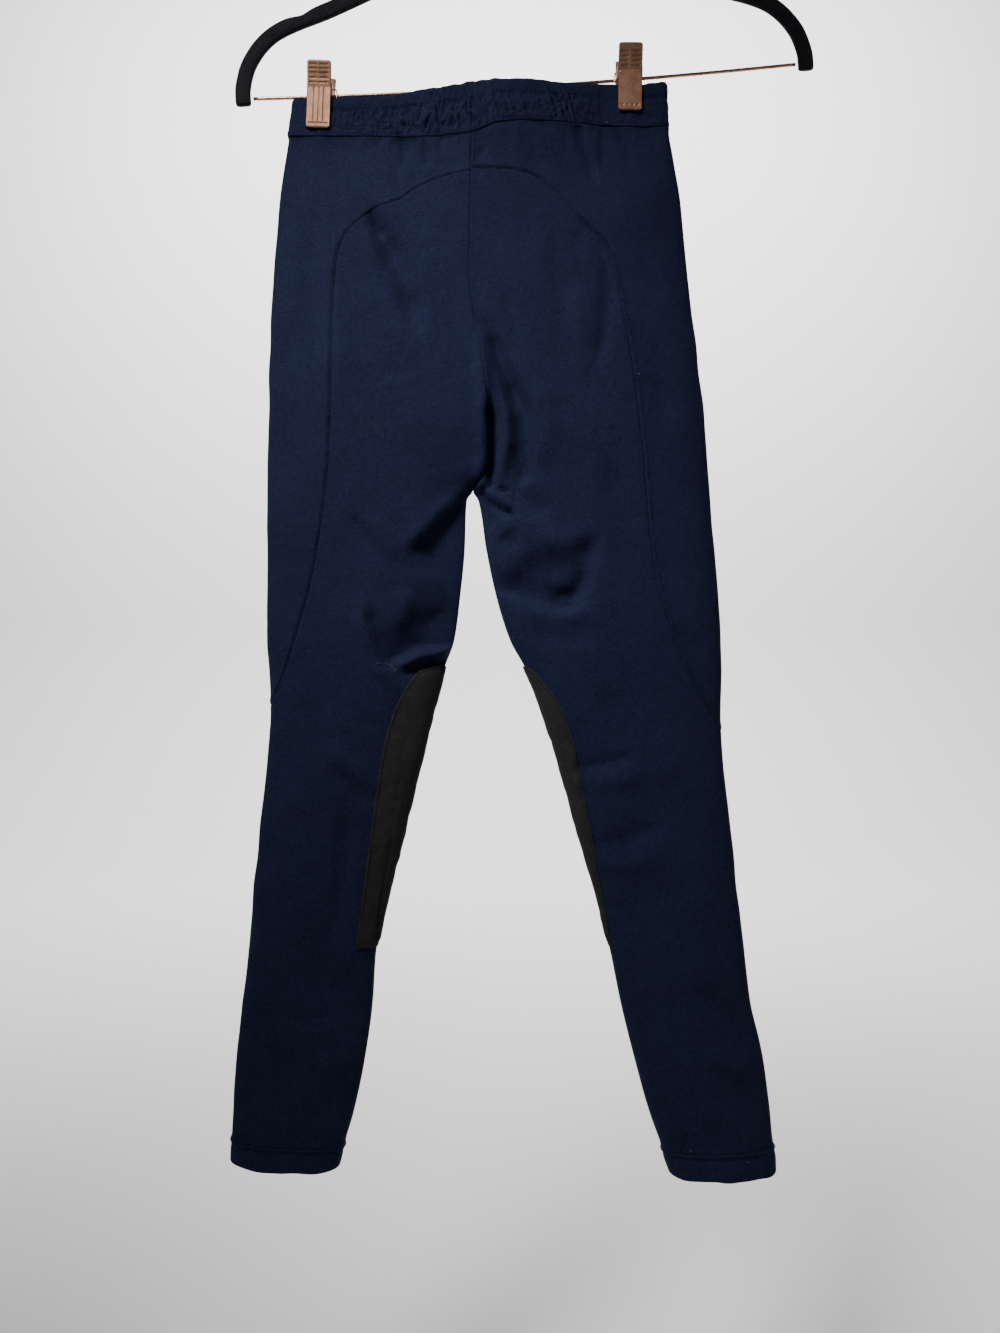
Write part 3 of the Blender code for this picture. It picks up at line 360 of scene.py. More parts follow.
def foldRelief(face, x, z):
    # each fold is a bell across its route, and its height rises from its ends' shares to the whole of it
    # under them lie broad waves, smaller ones and a fine grain, with more of them below the knee
    u, w = 0.8 * x + 0.6 * z, 0.8 * z - 0.6 * x
    relief = 0.7 * uneven(u, w, 46, 2) + 0.35 * uneven(w, u, 17, 3) + 0.1 * uneven(u, w, 6, 4)
    relief = relief + 0.45 * uneven(u * 0.7, w, 15, 9) * ease((-640 - z) / 80)
    for foldFace, width, lean, height, startShare, endShare, route in folds:
        low, high = np.min(route, axis=0) - 3.6 * width, np.max(route, axis=0) + 3.6 * width
        near = (face == foldFace) & (x > low[0]) & (x < high[0]) & (z > low[1]) & (z < high[1])
        if not near.any():
            continue
        px, pz = x[near], z[near]
        away, along, above = beyond(route, px, pz)
        share = startShare + (1 - startShare) * ease(along / 0.35)
        share = share * (endShare + (1 - endShare) * ease((1 - along) / 0.35))
        share = share * (1 + 0.2 * uneven(px, pz, 14, 5))
        side = lean * np.tanh(above / (0.35 * width))
        wide = width * (1 - 0.1 * abs(lean) - 0.5 * side) * (0.5 + 0.5 * np.clip(share, 0, 1))
        relief[near] += breeches["foldStrength"] * height * share * bump(away, wide)
    return relief


def legSurface(side, phi, v, folded=True):
    # x runs across the oval with the cosine of the angle, depth with its sine, both to a power that squares
    # the oval off; near the waist the depth goes over to the clipped shape, which is thin at the clips
    phi, v = np.broadcast_arrays(np.asarray(phi, float), np.asarray(v, float))
    power = 2 / breeches["flatness"]
    face = np.where(np.sin(phi) < 0, -1, 1)
    outer = outerEdge(side, v)
    width = tubeWidth(side, v, face > 0)
    x = outer + width * (1 - signedPower(np.cos(phi), power)) / 2
    depth = np.where(face < 0, smoothCurve(depthTable, 1, v), smoothCurve(depthTable, 2, v))
    hanging = depth * np.abs(np.sin(phi)) ** power
    slack = np.where(face < 0, breeches["bulge"][-1], breeches["bulge"][1])
    slack = slack * bump(x - breeches["bulgeX"], breeches["bulgeWidth"])
    fromFold = np.clip(np.abs(x - outer) / breeches["clipDepth"], 0, 1)
    clipped = (breeches["clipDepth"] + slack) * quarterRound(fromFold)
    held = ease((v - breeches["waistSeam"] + breeches["waistEase"]) / breeches["waistEase"])
    out = hanging * (1 - held) + clipped * held
    if folded:
        relief = foldRelief(face, x, v) * ease((breeches["waistSeam"] - v) / breeches["foldFrom"])
        relief = relief * np.clip(out / breeches["foldDepth"], 0, 1)
        out = out + np.maximum(relief, -breeches["foldLimit"] * out)
    top, seam = smoothCurve(waistLine, 1, x), smoothCurve(waistLine, 2, x)
    settled = np.clip((v - breeches["waistSeam"] + breeches["lineEase"]) / breeches["lineEase"], 0, 1)
    below = v + (seam - breeches["waistSeam"]) * settled
    rise = (v - breeches["waistSeam"]) / (breeches["waistTop"] - breeches["waistSeam"])
    tilt = np.clip((breeches["hemTiltFrom"] - v) / breeches["hemTiltEase"], 0, 1)
    hem = breeches["hemTilt"][side] * (x - outer - width / 2) * tilt
    z = np.where(v > breeches["waistSeam"], seam + rise * (top - seam), below) + hem
    return np.stack([x, face * out, z], axis=-1)


def surfaceFrame(side, phi, v):
    # point, steps round and down the surface, and the normal, which is square to both
    point = legSurface(side, phi, v)
    turn, drop = 0.004, 0.4
    round_ = (legSurface(side, phi + turn, v) - legSurface(side, phi - turn, v)) / (2 * turn)
    down = (legSurface(side, phi, v - drop) - legSurface(side, phi, v + drop)) / (2 * drop)
    return point, round_, down, unit(np.cross(round_, down)) * -outwards[side]


def atX(side, x, v):
    # angle, on the back, of the point that lies at x
    across = np.clip(1 - 2 * (x - outerEdge(side, v)) / tubeWidth(side, v, False), -1, 1)
    return -np.arccos(signedPower(across, breeches["flatness"] / 2))


def archTop(side, x):
    rows = [(ax, az) for az, ax in archRows[side][:shoulderRow + 3]]
    return smoothCurve(rows, 1, x)


def archSide(side, v):
    # angle of the seam below the arch's shoulder, and of the outseam that it turns into
    onArch = atX(side, smoothCurve(archRows[side], 1, v), v)
    along = smoothCurve(outseamTable, 1, v - archRows[side][-1][0])
    return np.where(v > archRows[side][-1][0], onArch, along)


def shifted(side, phi, v, way):
    # angle and height of the point that lies a small way off in the surface, along a vector
    _, round_, down, _ = surfaceFrame(side, phi, v)
    rr, dd, rd = (round_ * round_).sum(-1), (down * down).sum(-1), (round_ * down).sum(-1)
    rw, dw = (round_ * way).sum(-1), (down * way).sum(-1)
    scale = rr * dd - rd * rd
    return phi + (rw * dd - dw * rd) / scale, v - (dw * rr - rw * rd) / scale


# ---- meshes

def gridQuads(rows, columns, used=None, ring=False, flip=False):
    # four corners for each cell of a grid; used marks the cells that are kept
    r, c = np.meshgrid(np.arange(rows - 1), np.arange(columns if ring else columns - 1), indexing="ij")
    if used is not None:
        r, c = r[used], c[used]
    a, b = r * columns + c, r * columns + (c + 1) % columns
    corners = [a, b, b + columns, a + columns]
    if flip:
        corners = corners[::-1]
    return np.stack([corner.ravel() for corner in corners], axis=-1)


def makePiece(name, points, faces, material):
    # points in millimetres; vertices that no face uses are dropped
    points = np.asarray(points, float).reshape(-1, 3)
    faces = [np.asarray(f) for f in faces]
    usedPoints = np.zeros(len(points), bool)
    for f in faces:
        usedPoints[f.ravel()] = True
    number = np.cumsum(usedPoints) - 1
    mesh = bpy.data.meshes.new(name)
    rows = [row for f in faces for row in number[f].tolist()]
    mesh.from_pydata((points[usedPoints] * mm).tolist(), [], rows)
    mesh.materials.append(material)
    mesh.shade_smooth()
    piece = bpy.data.objects.new(name, mesh)
    scene.collection.objects.link(piece)
    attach(piece, "root")
    return piece


def thicken(piece, thickness):
    wall = piece.modifiers.new("wall", "SOLIDIFY")
    wall.thickness = thickness * mm
    wall.offset = -1.0
    wall.use_even_offset = False


def gridNormals(grid, side):
    # the cross of the steps to the next column and to the next row
    return unit(np.cross(np.gradient(grid, axis=1), np.gradient(grid, axis=0))) * -outwards[side]


def walkedAcross(grid):
    # distance of each point along its row from the row's first point
    hops = np.linalg.norm(np.diff(grid, axis=1), axis=-1)
    return np.concatenate([np.zeros((len(grid), 1)), np.cumsum(hops, axis=1)], axis=1)


def nearest(points, curve, reach=12.0):
    # distance of each point to a curve, worked out only within reach of its box, in blocks
    flat = points.reshape(-1, 3)
    away = np.full(len(flat), reach)
    inBox = ((flat > curve.min(0) - reach) & (flat < curve.max(0) + reach)).all(1)
    chosen = np.flatnonzero(inBox)
    for block in np.array_split(chosen, max(1, len(chosen) // 4000)):
        gaps = flat[block][:, None, :] - curve[None]
        away[block] = np.minimum(np.sqrt((gaps ** 2).sum(-1)).min(1), reach)
    return away.reshape(points.shape[:-1])


byEdge = np.array([0.0, 0.5, 1.1, 1.9])      # rows and columns lie this close together by a panel's edges


def edgeShares(length, count):
    # shares of a row: close together by both ends and even between them
    near = byEdge / length[:, None]
    middle = np.linspace(0, 1, count)[1:-1]
    middle = near[:, -1:] + (1 - 2 * near[:, -1:]) * middle
    return np.concatenate([near, middle, 1 - near[:, ::-1]], axis=1)


def spread(side, start, end, v, count):
    # angles of a row's columns: even in length along the row, with bends counted as extra length
    share = np.linspace(0, 1, 201)
    phi = start[:, None] + (end - start)[:, None] * share
    flat = legSurface(side, phi, v[:, None], folded=False)[..., :2]
    hops = np.diff(flat, axis=1)
    heading = np.unwrap(np.arctan2(hops[..., 1], hops[..., 0]), axis=1)
    bend = np.abs(np.diff(heading, axis=1, prepend=heading[:, :1]))
    length = np.linalg.norm(hops, axis=-1) + 9.0 * bend
    walked = np.concatenate([np.zeros((len(v), 1)), np.cumsum(length, axis=1)], axis=1)
    wanted = edgeShares(walked[:, -1], count)
    return np.stack([np.interp(s * w[-1], w, p) for s, w, p in zip(wanted, walked, phi)])


def heldOff(side, phi, v, way):
    # a seam's angle moved half a gap aside
    speed = np.linalg.norm(surfaceFrame(side, phi, v)[1], axis=-1)
    return phi + way * breeches["seamGap"] / speed


def centreEdge(side, v, way):
    # the centre seam's angle, and below the crotch the inseam's, which has a gap of its own
    near = ease((breeches["crotch"] + 2 * breeches["inseamEase"] - v) / breeches["inseamEase"])
    angle = way * seamAngle(v)
    return angle * (1 - near) + heldOff(side, angle, v, -way) * near


def heights(start, end, step):
    # levels from start down to end, even but close together by both ends
    count = max(3, int((start - end) / step))
    middle = np.linspace(start - byEdge[-1], end + byEdge[-1], count)[1:-1]
    return np.concatenate([start - byEdge, middle, end + byEdge[::-1]])


# ---- finishes

def setInputs(tree, made, inputs):
    # links what is a socket and sets what is a value
    for key, value in inputs.items():
        if isinstance(value, bpy.types.NodeSocket):
            tree.links.new(value, made.inputs[key])
        else:
            made.inputs[key].default_value = value


def node(tree, kind, inputs=None, **settings):
    made = tree.nodes.new(kind)
    for key, value in settings.items():
        setattr(made, key, value)
    setInputs(tree, made, inputs or {})
    return made


def newGroup(name, inputs, outputs):
    # a shader node group with its sockets; inputs are (name, kind, value)
    group = bpy.data.node_groups.new(name, "ShaderNodeTree")
    for label, kind, value in inputs:
        socket = group.interface.new_socket(label, in_out="INPUT", socket_type="NodeSocket" + kind)
        socket.default_value = value
    for label, kind in outputs:
        group.interface.new_socket(label, in_out="OUTPUT", socket_type="NodeSocket" + kind)
    return group, node(group, "NodeGroupInput"), node(group, "NodeGroupOutput")


def mathNode(tree, operation, a, b):
    return node(tree, "ShaderNodeMath", {0: a, 1: b}, operation=operation).outputs[0]


def weighted(tree, *terms):
    # the sum of values, each times its weight
    parts = [mathNode(tree, "MULTIPLY", value, weight) for value, weight in terms]
    total = parts[0]
    for part in parts[1:]:
        total = mathNode(tree, "ADD", total, part)
    return total


def mixColour(tree, share, a, b):
    return node(tree, "ShaderNodeMix", {0: share, 6: a, 7: b}, data_type="RGBA").outputs[2]


def noiseNode(tree, vector, scale, detail, roughness=0.6):
    settings = {"Vector": vector, "Scale": scale, "Detail": detail, "Roughness": roughness}
    return node(tree, "ShaderNodeTexNoise", settings).outputs["Fac"]


def spanned(tree, value, low, high, newLow=0.0, newHigh=1.0):
    ends = {"Value": value, "From Min": low, "From Max": high, "To Min": newLow, "To Max": newHigh}
    return node(tree, "ShaderNodeMapRange", ends).outputs[0]


def objectPlace(tree):
    return node(tree, "ShaderNodeTexCoord").outputs["Object"]


def stretched(tree, place, scale):
    return node(tree, "ShaderNodeMapping", {"Vector": place, "Scale": scale}).outputs[0]


def bumped(tree, height, strength, distance):
    settings = {"Height": height, "Strength": strength, "Distance": distance}
    return node(tree, "ShaderNodeBump", settings).outputs[0]


def makeNapGroup():
    # brushed pile: blotches where the nap lies differently, mottling, single fibres and a few pale specks
    group, given, out = newGroup("nap", [
        ("Base", "Color", (0.01, 0.01, 0.03, 1)), ("Shade", "Color", (0.004, 0.005, 0.015, 1)),
        ("Lint", "Color", (0.25, 0.26, 0.3, 1)), ("Lint Amount", "Float", 0.2),
        ("Grain", "Float", 1.0),
    ], [("Color", "Color"), ("Height", "Float"), ("Roughness", "Float")])
    place = objectPlace(group)
    blotch = noiseNode(group, place, 21.0, 2.0)
    # mottling, then fibres that run down the cloth and courses that run across it
    kinds = ((place, 380.0, 0.7), (stretched(group, place, (1.0, 1.0, 0.35)), 1150.0, 0.75),
             (stretched(group, place, (0.4, 1.0, 1.0)), 900.0, 0.75))
    mottle, fibres, courses = [
        noiseNode(group, vector, mathNode(group, "MULTIPLY", given.outputs["Grain"], scale), 3.0, roughness)
        for vector, scale, roughness in kinds]
    pile = weighted(group, (fibres, 0.5), (courses, 0.5))
    tone = weighted(group, (blotch, 0.3), (mottle, 0.8), (pile, 1.2))
    share = spanned(group, tone, 0.9, 1.4)
    colour = mixColour(group, share, given.outputs["Shade"], given.outputs["Base"])
    specks = node(group, "ShaderNodeTexVoronoi", {"Vector": place, "Scale": 95.0}, feature="F1")
    near = spanned(group, specks.outputs["Distance"], 0.05, 0.02)
    split = node(group, "ShaderNodeSeparateColor", {"Color": specks.outputs["Color"]})
    chosen = mathNode(group, "GREATER_THAN", given.outputs["Lint Amount"], split.outputs[0])
    strength = mathNode(group, "MULTIPLY", mathNode(group, "MULTIPLY", near, chosen), split.outputs[1])
    colour = mixColour(group, strength, colour, given.outputs["Lint"])
    height = mathNode(group, "ADD", pile, mathNode(group, "MULTIPLY", mottle, 0.8))
    rough = spanned(group, tone, 0.8, 1.4, 0.98, 0.86)
    setInputs(group, out, {"Color": colour, "Height": height, "Roughness": rough})
    return group


def newMaterial(name):
    made = bpy.data.materials.new(name)
    made.use_nodes = True
    return made, made.node_tree, made.node_tree.nodes["Principled BSDF"]


def makeNapMaterial(name, look):
    made, tree, shader = newMaterial(name)
    nap = node(tree, "ShaderNodeGroup", node_tree=napGroup)
    setInputs(tree, nap, {
        "Base": (*look["base"], 1), "Shade": (*look["shade"], 1), "Lint": (*look["lint"], 1),
        "Lint Amount": look["lintAmount"], "Grain": look["grain"],
    })
    setInputs(tree, shader, {
        "Base Color": nap.outputs["Color"], "Roughness": nap.outputs["Roughness"],
        "Normal": bumped(tree, nap.outputs["Height"], look["bump"], look["bumpDistance"]),
        "Specular IOR Level": look["specular"], "Sheen Weight": look["sheen"],
        "Sheen Roughness": look["sheenRoughness"], "Sheen Tint": (*look["sheenTint"], 1),
    })
    return made


napLooks = dict(
    brushedKnit=dict(base=(0.0092, 0.0138, 0.0425), shade=(0.0039, 0.0059, 0.0205), lint=(0.12, 0.13, 0.17),
                     lintAmount=0.05, grain=1.0, bump=0.75, bumpDistance=0.0013, specular=0.13, sheen=0.02,
                     sheenRoughness=0.42, sheenTint=(0.42, 0.55, 1.0)),
    suede=dict(base=(0.0176, 0.0170, 0.0180), shade=(0.0090, 0.0087, 0.0094), lint=(0.2, 0.2, 0.2),
               lintAmount=0.02, grain=0.8, bump=0.35, bumpDistance=0.0006, specular=0.2, sheen=0.03,
               sheenRoughness=0.5, sheenTint=(0.9, 0.85, 0.8)),
    flock=dict(base=(0.016, 0.016, 0.020), shade=(0.004, 0.004, 0.006), lint=(0.42, 0.42, 0.46),
               lintAmount=0.22, grain=1.3, bump=0.7, bumpDistance=0.0009, specular=0.15, sheen=0.16,
               sheenRoughness=0.4, sheenTint=(0.7, 0.75, 1.0)),
)


def makeThread(name, light, dark):
    # two-ply thread: a light and a dark ply by fine noise
    made, tree, shader = newMaterial(name)
    ply = noiseNode(tree, objectPlace(tree), 2400.0, 1.0)
    setInputs(tree, shader, {
        "Base Color": mixColour(tree, spanned(tree, ply, 0.35, 0.65), (*dark, 1), (*light, 1)),
        "Normal": bumped(tree, ply, 0.4, 0.0002), "Roughness": 0.75, "Specular IOR Level": 0.12,
    })
    return made


def makeMetal(name, base, dull, roughness):
    # plated metal: fine brushing up and down, faint cloudy dulling, small scuffs in the roughness
    made, tree, shader = newMaterial(name)
    place = objectPlace(tree)
    lines = noiseNode(tree, stretched(tree, place, (1.0, 1.0, 0.04)), 9000.0, 2.0)
    cloud = noiseNode(tree, place, 120.0, 3.0)
    scuff = noiseNode(tree, place, 900.0, 2.0)
    share = spanned(tree, weighted(tree, (cloud, 0.7), (scuff, 0.3)), 0.35, 0.65)
    worn = mathNode(tree, "ADD", lines, scuff)
    setInputs(tree, shader, {
        "Base Color": mixColour(tree, share, (*dull, 1), (*base, 1)), "Metallic": 1.0,
        "Roughness": spanned(tree, worn, 0.6, 1.4, roughness * 0.8, roughness * 1.25),
        "Normal": bumped(tree, lines, 0.12, 0.0001),
    })
    return made


def makeStageMaterial(name, colour):
    # plain matt paper with a breath of unevenness
    made, tree, shader = newMaterial(name)
    cloud = noiseNode(tree, objectPlace(tree), 1.4, 2.0)
    darker = tuple(0.965 * c for c in colour)
    setInputs(tree, shader, {
        "Base Color": mixColour(tree, cloud, (*darker, 1), (*colour, 1)),
        "Roughness": 0.9, "Specular IOR Level": 0.1,
    })
    return made


napGroup = makeNapGroup()
knit, suede, flock = [makeNapMaterial(name, look) for name, look in napLooks.items()]
navyThread = makeThread("navyThread", (0.0185, 0.0285, 0.070), (0.0075, 0.0125, 0.034))
greyThread = makeThread("greyThread", (0.0065, 0.0065, 0.0075), (0.003, 0.003, 0.0035))
lintFibre = makeThread("lintFibre", (0.19, 0.19, 0.22), (0.10, 0.10, 0.12))
roseGold = makeMetal("roseGold", (0.30, 0.168, 0.112), (0.18, 0.098, 0.064), 0.58)
copperWire = makeMetal("copperWire", (0.72, 0.40, 0.28), (0.45, 0.22, 0.15), 0.26)
print("finishes made")


# ---- panels of the legs

panels = dict(
    step=2.1, yokeColumns=44, sideColumns=88, seatColumns=48, topRows=18,
    edgeTurn=0.42, edgeWidth=0.8,        # how far a panel's edge turns in at a seam
    seamRaise=0.2, raiseWidth=5.2,       # the turned-back allowance lifts the yoke beside the arched seam
    seatRaise=0.12, seatRaiseWidth=3.6,
    centreRaise=0.18, centreWidth=3.4, centreTurn=0.03,
    inseamTurn=0.5, hemSwell=0.4, pucker=0.2, puckerSize=4.2, puckerWidth=6.5,
    archDrop=110.0,          # the seat's rows follow the arch's top less and less over this height
    evenDrop=100.0, evenEase=70.0,       # below this its columns go over to even lengths
    waveDrop=56.0, waveEase=50.0, waveDepth=0.6,     # broad waves below the waistband
    frontGathers=0.5, gatherDepth=1.4, gatherDrop=26.0,    # gathers fade out this far below the waistband
)


def edgeRelief(away, lift, width, turn=None):
    # across a seam: a narrow bell inwards at the edge itself, then a low plateau over the allowance
    plateau = ease((away - 0.5) / 1.3) * (1 - ease((away - width + 0.6) / 1.6))
    return lift * plateau - (panels["edgeTurn"] if turn is None else turn) * bump(away, panels["edgeWidth"])


def archRun(side):
    # angles and heights along the arched seam and the outseam below it
    zs, xs = archRows[side][shoulderRow]
    x = np.linspace(archRows[side][0][1], xs, 60)[:-1]
    v = archTop(side, x)
    low = np.linspace(zs, breeches["hemSeam"][side], 420)
    return np.concatenate([atX(side, x, v), archSide(side, low)]), np.concatenate([v, low])


def panelRelief(side, grid, v, lift, width, fromCentre, fromInseam):
    # allowances at the arched and the centre seams, the inseam, puckers beside the arch, the hem's seam
    arch = nearest(grid, legSurface(side, *archRun(side)))
    centre = edgeRelief(fromCentre, panels["centreRaise"], panels["centreWidth"], panels["centreTurn"])
    inseam = -panels["inseamTurn"] * bump(fromInseam, panels["edgeWidth"])
    relief = edgeRelief(arch, lift, width) + np.where(v > breeches["crotch"] - 2, centre, inseam)
    puckers = uneven(grid[..., 0], grid[..., 2], panels["puckerSize"], 6) * bump(arch, panels["puckerWidth"])
    return relief + panels["pucker"] * puckers + panels["hemSwell"] * bump(v - breeches["hemSeam"][side], 2.4)


def sheetCut(piece, grid, used, extra=()):
    # the cut: widest row by longest column, with the area that the grid's cells have
    cells = np.linalg.norm(np.cross(grid[:-1, 1:] - grid[:-1, :-1], grid[1:, :-1] - grid[:-1, :-1]), axis=-1)
    area = (cells if used is None else cells * used).sum() * mm * mm
    hopsAcross = np.linalg.norm(np.diff(grid, axis=1), axis=-1)[:-1]
    hopsDown = np.linalg.norm(np.diff(grid, axis=0), axis=-1)[:, :-1]
    if used is not None:
        hopsAcross, hopsDown = hopsAcross * used, hopsDown * used
    width = hopsAcross.sum(1).max() * mm
    length = hopsDown.sum(0).max() * mm
    length = max(length, area / width * 1.002)
    print("cut", piece.name, round(width, 3), round(length, 3), round(area, 4))


clipsAlong = dict(left=-157.2, right=80.4)      # where the clips hold, along the hanger's bar

# x, how strongly the elastic gathers the back there
gatherTable = ((-175, 0.15), (-128, 0.42), (-108, 0.65), (-90, 0.95), (-34, 1.0), (-14, 0.75), (22, 0.6),
               (38, 0.9), (58, 0.95), (76, 0.6), (96, 0.35), (124, 0.3))


def gathers(x, y):
    return np.where(y < 0, smoothCurve(gatherTable, 1, x), panels["frontGathers"])


def frontPanel(side):
    zs, xs = archRows[side][shoulderRow]
    waistEdge = breeches["waistSeam"] - breeches["seamGap"]
    gap = outwards[side] * breeches["centreGap"]
    level = heights(zs, breeches["hemSeam"][side] + breeches["seamGap"], panels["step"])[1:]
    share = edgeShares(np.array([46.0]), panels["topRows"])[0]
    nTop = len(share) - 1
    # yoke: columns at even steps of x from the centre back to the shoulder, rows from the waist to the arch
    centre = float(innerEdge(side, np.array(archRows[side][0][0]))) + gap
    reach = xs - centre
    near = byEdge / abs(reach)
    across = np.concatenate([near, np.linspace(near[-1], 1, panels["yokeColumns"])[1:]])
    nYoke = len(across) - 1
    top = archTop(side, centre + across * reach)
    yokeV = waistEdge + (top - waistEdge) * share[:, None]
    yokeV = np.concatenate([yokeV, top + (level - zs)[:, None]])
    centreX = innerEdge(side, yokeV[:, :1]) + gap
    endX = np.where(yokeV[:, -1:] >= zs, xs, smoothCurve(archRows[side], 1, yokeV[:, -1:]))
    yokePhi = atX(side, centreX + across * (endX - centreX), yokeV)
    yokePhi[:, 0] = -seamAngle(yokeV[:, 0])
    # side and front: from the shoulder's column, or from the seam below it, round to the centre front
    v = yokeV[:, -1]
    seam = np.where(v >= zs, atX(side, np.full_like(v, xs), v), archSide(side, v))
    start = np.where(v >= zs, seam, heldOff(side, seam, v, 1))
    sidePhi = spread(side, start, centreEdge(side, v, 1), v, panels["sideColumns"])
    yokePhi[:, -1] = start
    phi = np.concatenate([yokePhi, sidePhi[:, 1:]], axis=1)
    v = np.concatenate([yokeV, np.repeat(v[:, None], sidePhi.shape[1] - 1, axis=1)], axis=1)
    grid = legSurface(side, phi, v)
    normal = gridNormals(grid, side)
    walked = walkedAcross(grid)
    fromCentre = np.where(v >= zs, walked, 99.0)
    fromFront = walked[:, -1:] - walked
    relief = panelRelief(side, grid, v, panels["seamRaise"], panels["raiseWidth"],
                         np.minimum(fromCentre, fromFront), fromFront)
    # gathers run on a little way below the waistband, and wider waves further
    gathered = gathers(grid[..., 0], grid[..., 1]) * (uneven(grid[..., 0], grid[..., 2] * 0.3, 4.0, 7) - 0.1)
    fade = ease((v - breeches["waistSeam"] + 29) / panels["gatherDrop"]) * ease((waistEdge - v) / 2.5)
    relief += panels["gatherDepth"] * gathered * fade
    fade = ease((v - breeches["waistSeam"] + panels["waveDrop"]) / panels["waveEase"])
    relief += panels["waveDepth"] * uneven(walked, v * 0.12, 9.0, 8) * fade + 0.25 * bump(v - waistEdge, 1.2)
    grid = grid + normal * relief[..., None]
    used = np.ones((grid.shape[0] - 1, grid.shape[1] - 1), bool)
    used[nTop:, :nYoke] = False
    quads = gridQuads(*grid.shape[:2], used=used, flip=side == "right")
    piece = makePiece("frontPanel_" + side, grid, [quads], knit)
    thicken(piece, breeches["cloth"])
    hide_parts("front_" + side)
    return piece, grid, used


def seatPanel(side):
    zs, xs = archRows[side][shoulderRow]
    level = heights(zs, breeches["hemSeam"][side] + breeches["seamGap"], panels["step"])
    gap = outwards[side] * breeches["centreGap"]
    centre = float(innerEdge(side, np.array(archRows[side][0][0]))) + gap
    across = edgeShares(np.full(1, max(abs(xs - centre), 60.0)), panels["seatColumns"])[0]
    top = archTop(side, centre + across * (xs - centre)) - 2 * breeches["seamGap"]
    sunk = 1 - ease((zs - level) / panels["archDrop"])
    v = level[:, None] + (top - zs) * sunk[:, None]
    start = centreEdge(side, v[:, 0], -1)
    seam = archSide(side, np.minimum(v[:, -1], zs))
    end = np.where(v[:, -1] > zs - 1, seam, heldOff(side, seam, v[:, -1], -1))
    # high up the columns are even in x, lower down even in length along the row
    fromX = innerEdge(side, v[:, :1]) + gap
    rowReach = smoothCurve(archRows[side], 1, v[:, -1:]) - fromX
    evenX = edgeShares(np.maximum(np.abs(rowReach[:, 0]), 40.0), panels["seatColumns"])
    byX = atX(side, fromX + evenX * rowReach, v)
    byX[:, 0], byX[:, -1] = start, end
    byLength = spread(side, start, end, v[:, -1], panels["seatColumns"])
    high = 1 - ease((zs - panels["evenDrop"] - level) / panels["evenEase"])
    phi = byX * high[:, None] + byLength * (1 - high[:, None])
    grid = legSurface(side, phi, v)
    walked = walkedAcross(grid)
    relief = panelRelief(side, grid, v, panels["seatRaise"], panels["seatRaiseWidth"], walked, walked)
    grid = grid + gridNormals(grid, side) * relief[..., None]
    quads = gridQuads(*grid.shape[:2], flip=side == "right")
    piece = makePiece("seatPanel_" + side, grid, [quads], knit)
    thicken(piece, breeches["cloth"])
    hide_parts("seat_" + side, "back_knee_" + side, "back_calf_" + side)
    return piece, grid, None


cloths = {}
for side in ("left", "right"):
    cloths["front", side] = frontPanel(side)
    cloths["seat", side] = seatPanel(side)
print("panels made")


# ---- closed loops: waistband halves and hems

def loopProfile(height, thickness, bend, low, step):
    # a band's section: up its outer face, over, down its inner face and round; height and depth of each
    # point. Its far end is rounded over bend and its near one over low
    tall, half = height - bend - low, thickness / 2
    rise = np.linspace(0, 1, int(round(tall / step)) + 1)
    turn = np.radians(np.linspace(0, 180, 9)[1:-1])
    fall = np.linspace(1, 0, 9)
    up = np.concatenate([low + tall * rise, height - bend + bend * np.sin(turn), low + tall * fall,
                         low - low * np.sin(turn)])
    depth = np.concatenate([0 * rise, -half + half * np.cos(turn), 0 * fall - thickness,
                            -half - half * np.cos(turn)])
    return up, depth


def loopQuads(rows, loop, closed):
    # cells between neighbouring sections; an open band gets one face at each end
    quads = gridQuads(rows + 1 if closed else rows, loop, ring=True)
    faces = [quads % (rows * loop)]
    if not closed:
        faces += [np.arange(loop)[None, ::-1], (rows - 1) * loop + np.arange(loop)[None]]
    return faces


def turnedOut(points, faces):
    # turns every face over if the volume they close in comes out negative
    points = np.asarray(points).reshape(-1, 3)
    volume = 0.0
    for f in faces:
        corners = points[f]
        for k in range(1, f.shape[1] - 1):
            volume += np.einsum("ij,ij->", corners[:, 0], np.cross(corners[:, k], corners[:, k + 1]))
    return [f[:, ::-1] for f in faces] if volume < 0 else faces


casing = dict(
    columns=520, topRound=1.9, lowRound=0.2, step=0.8,
    lines=(0.66, 0.215),     # stitch lines, as shares of the height
    lineDepth=(0.75, 0.3), puff=0.35, ripple=3.6, rippleDepth=1.8,
    tuck=0.5,                # the band's lower edge lies this much further in than its middle
    pressHalf=9.5, pressed=0.85, besideClip=13.0, swell=0.45,    # how the clips' jaws flatten it
    topWave=0.55, seed=dict(left=11, right=31),
)


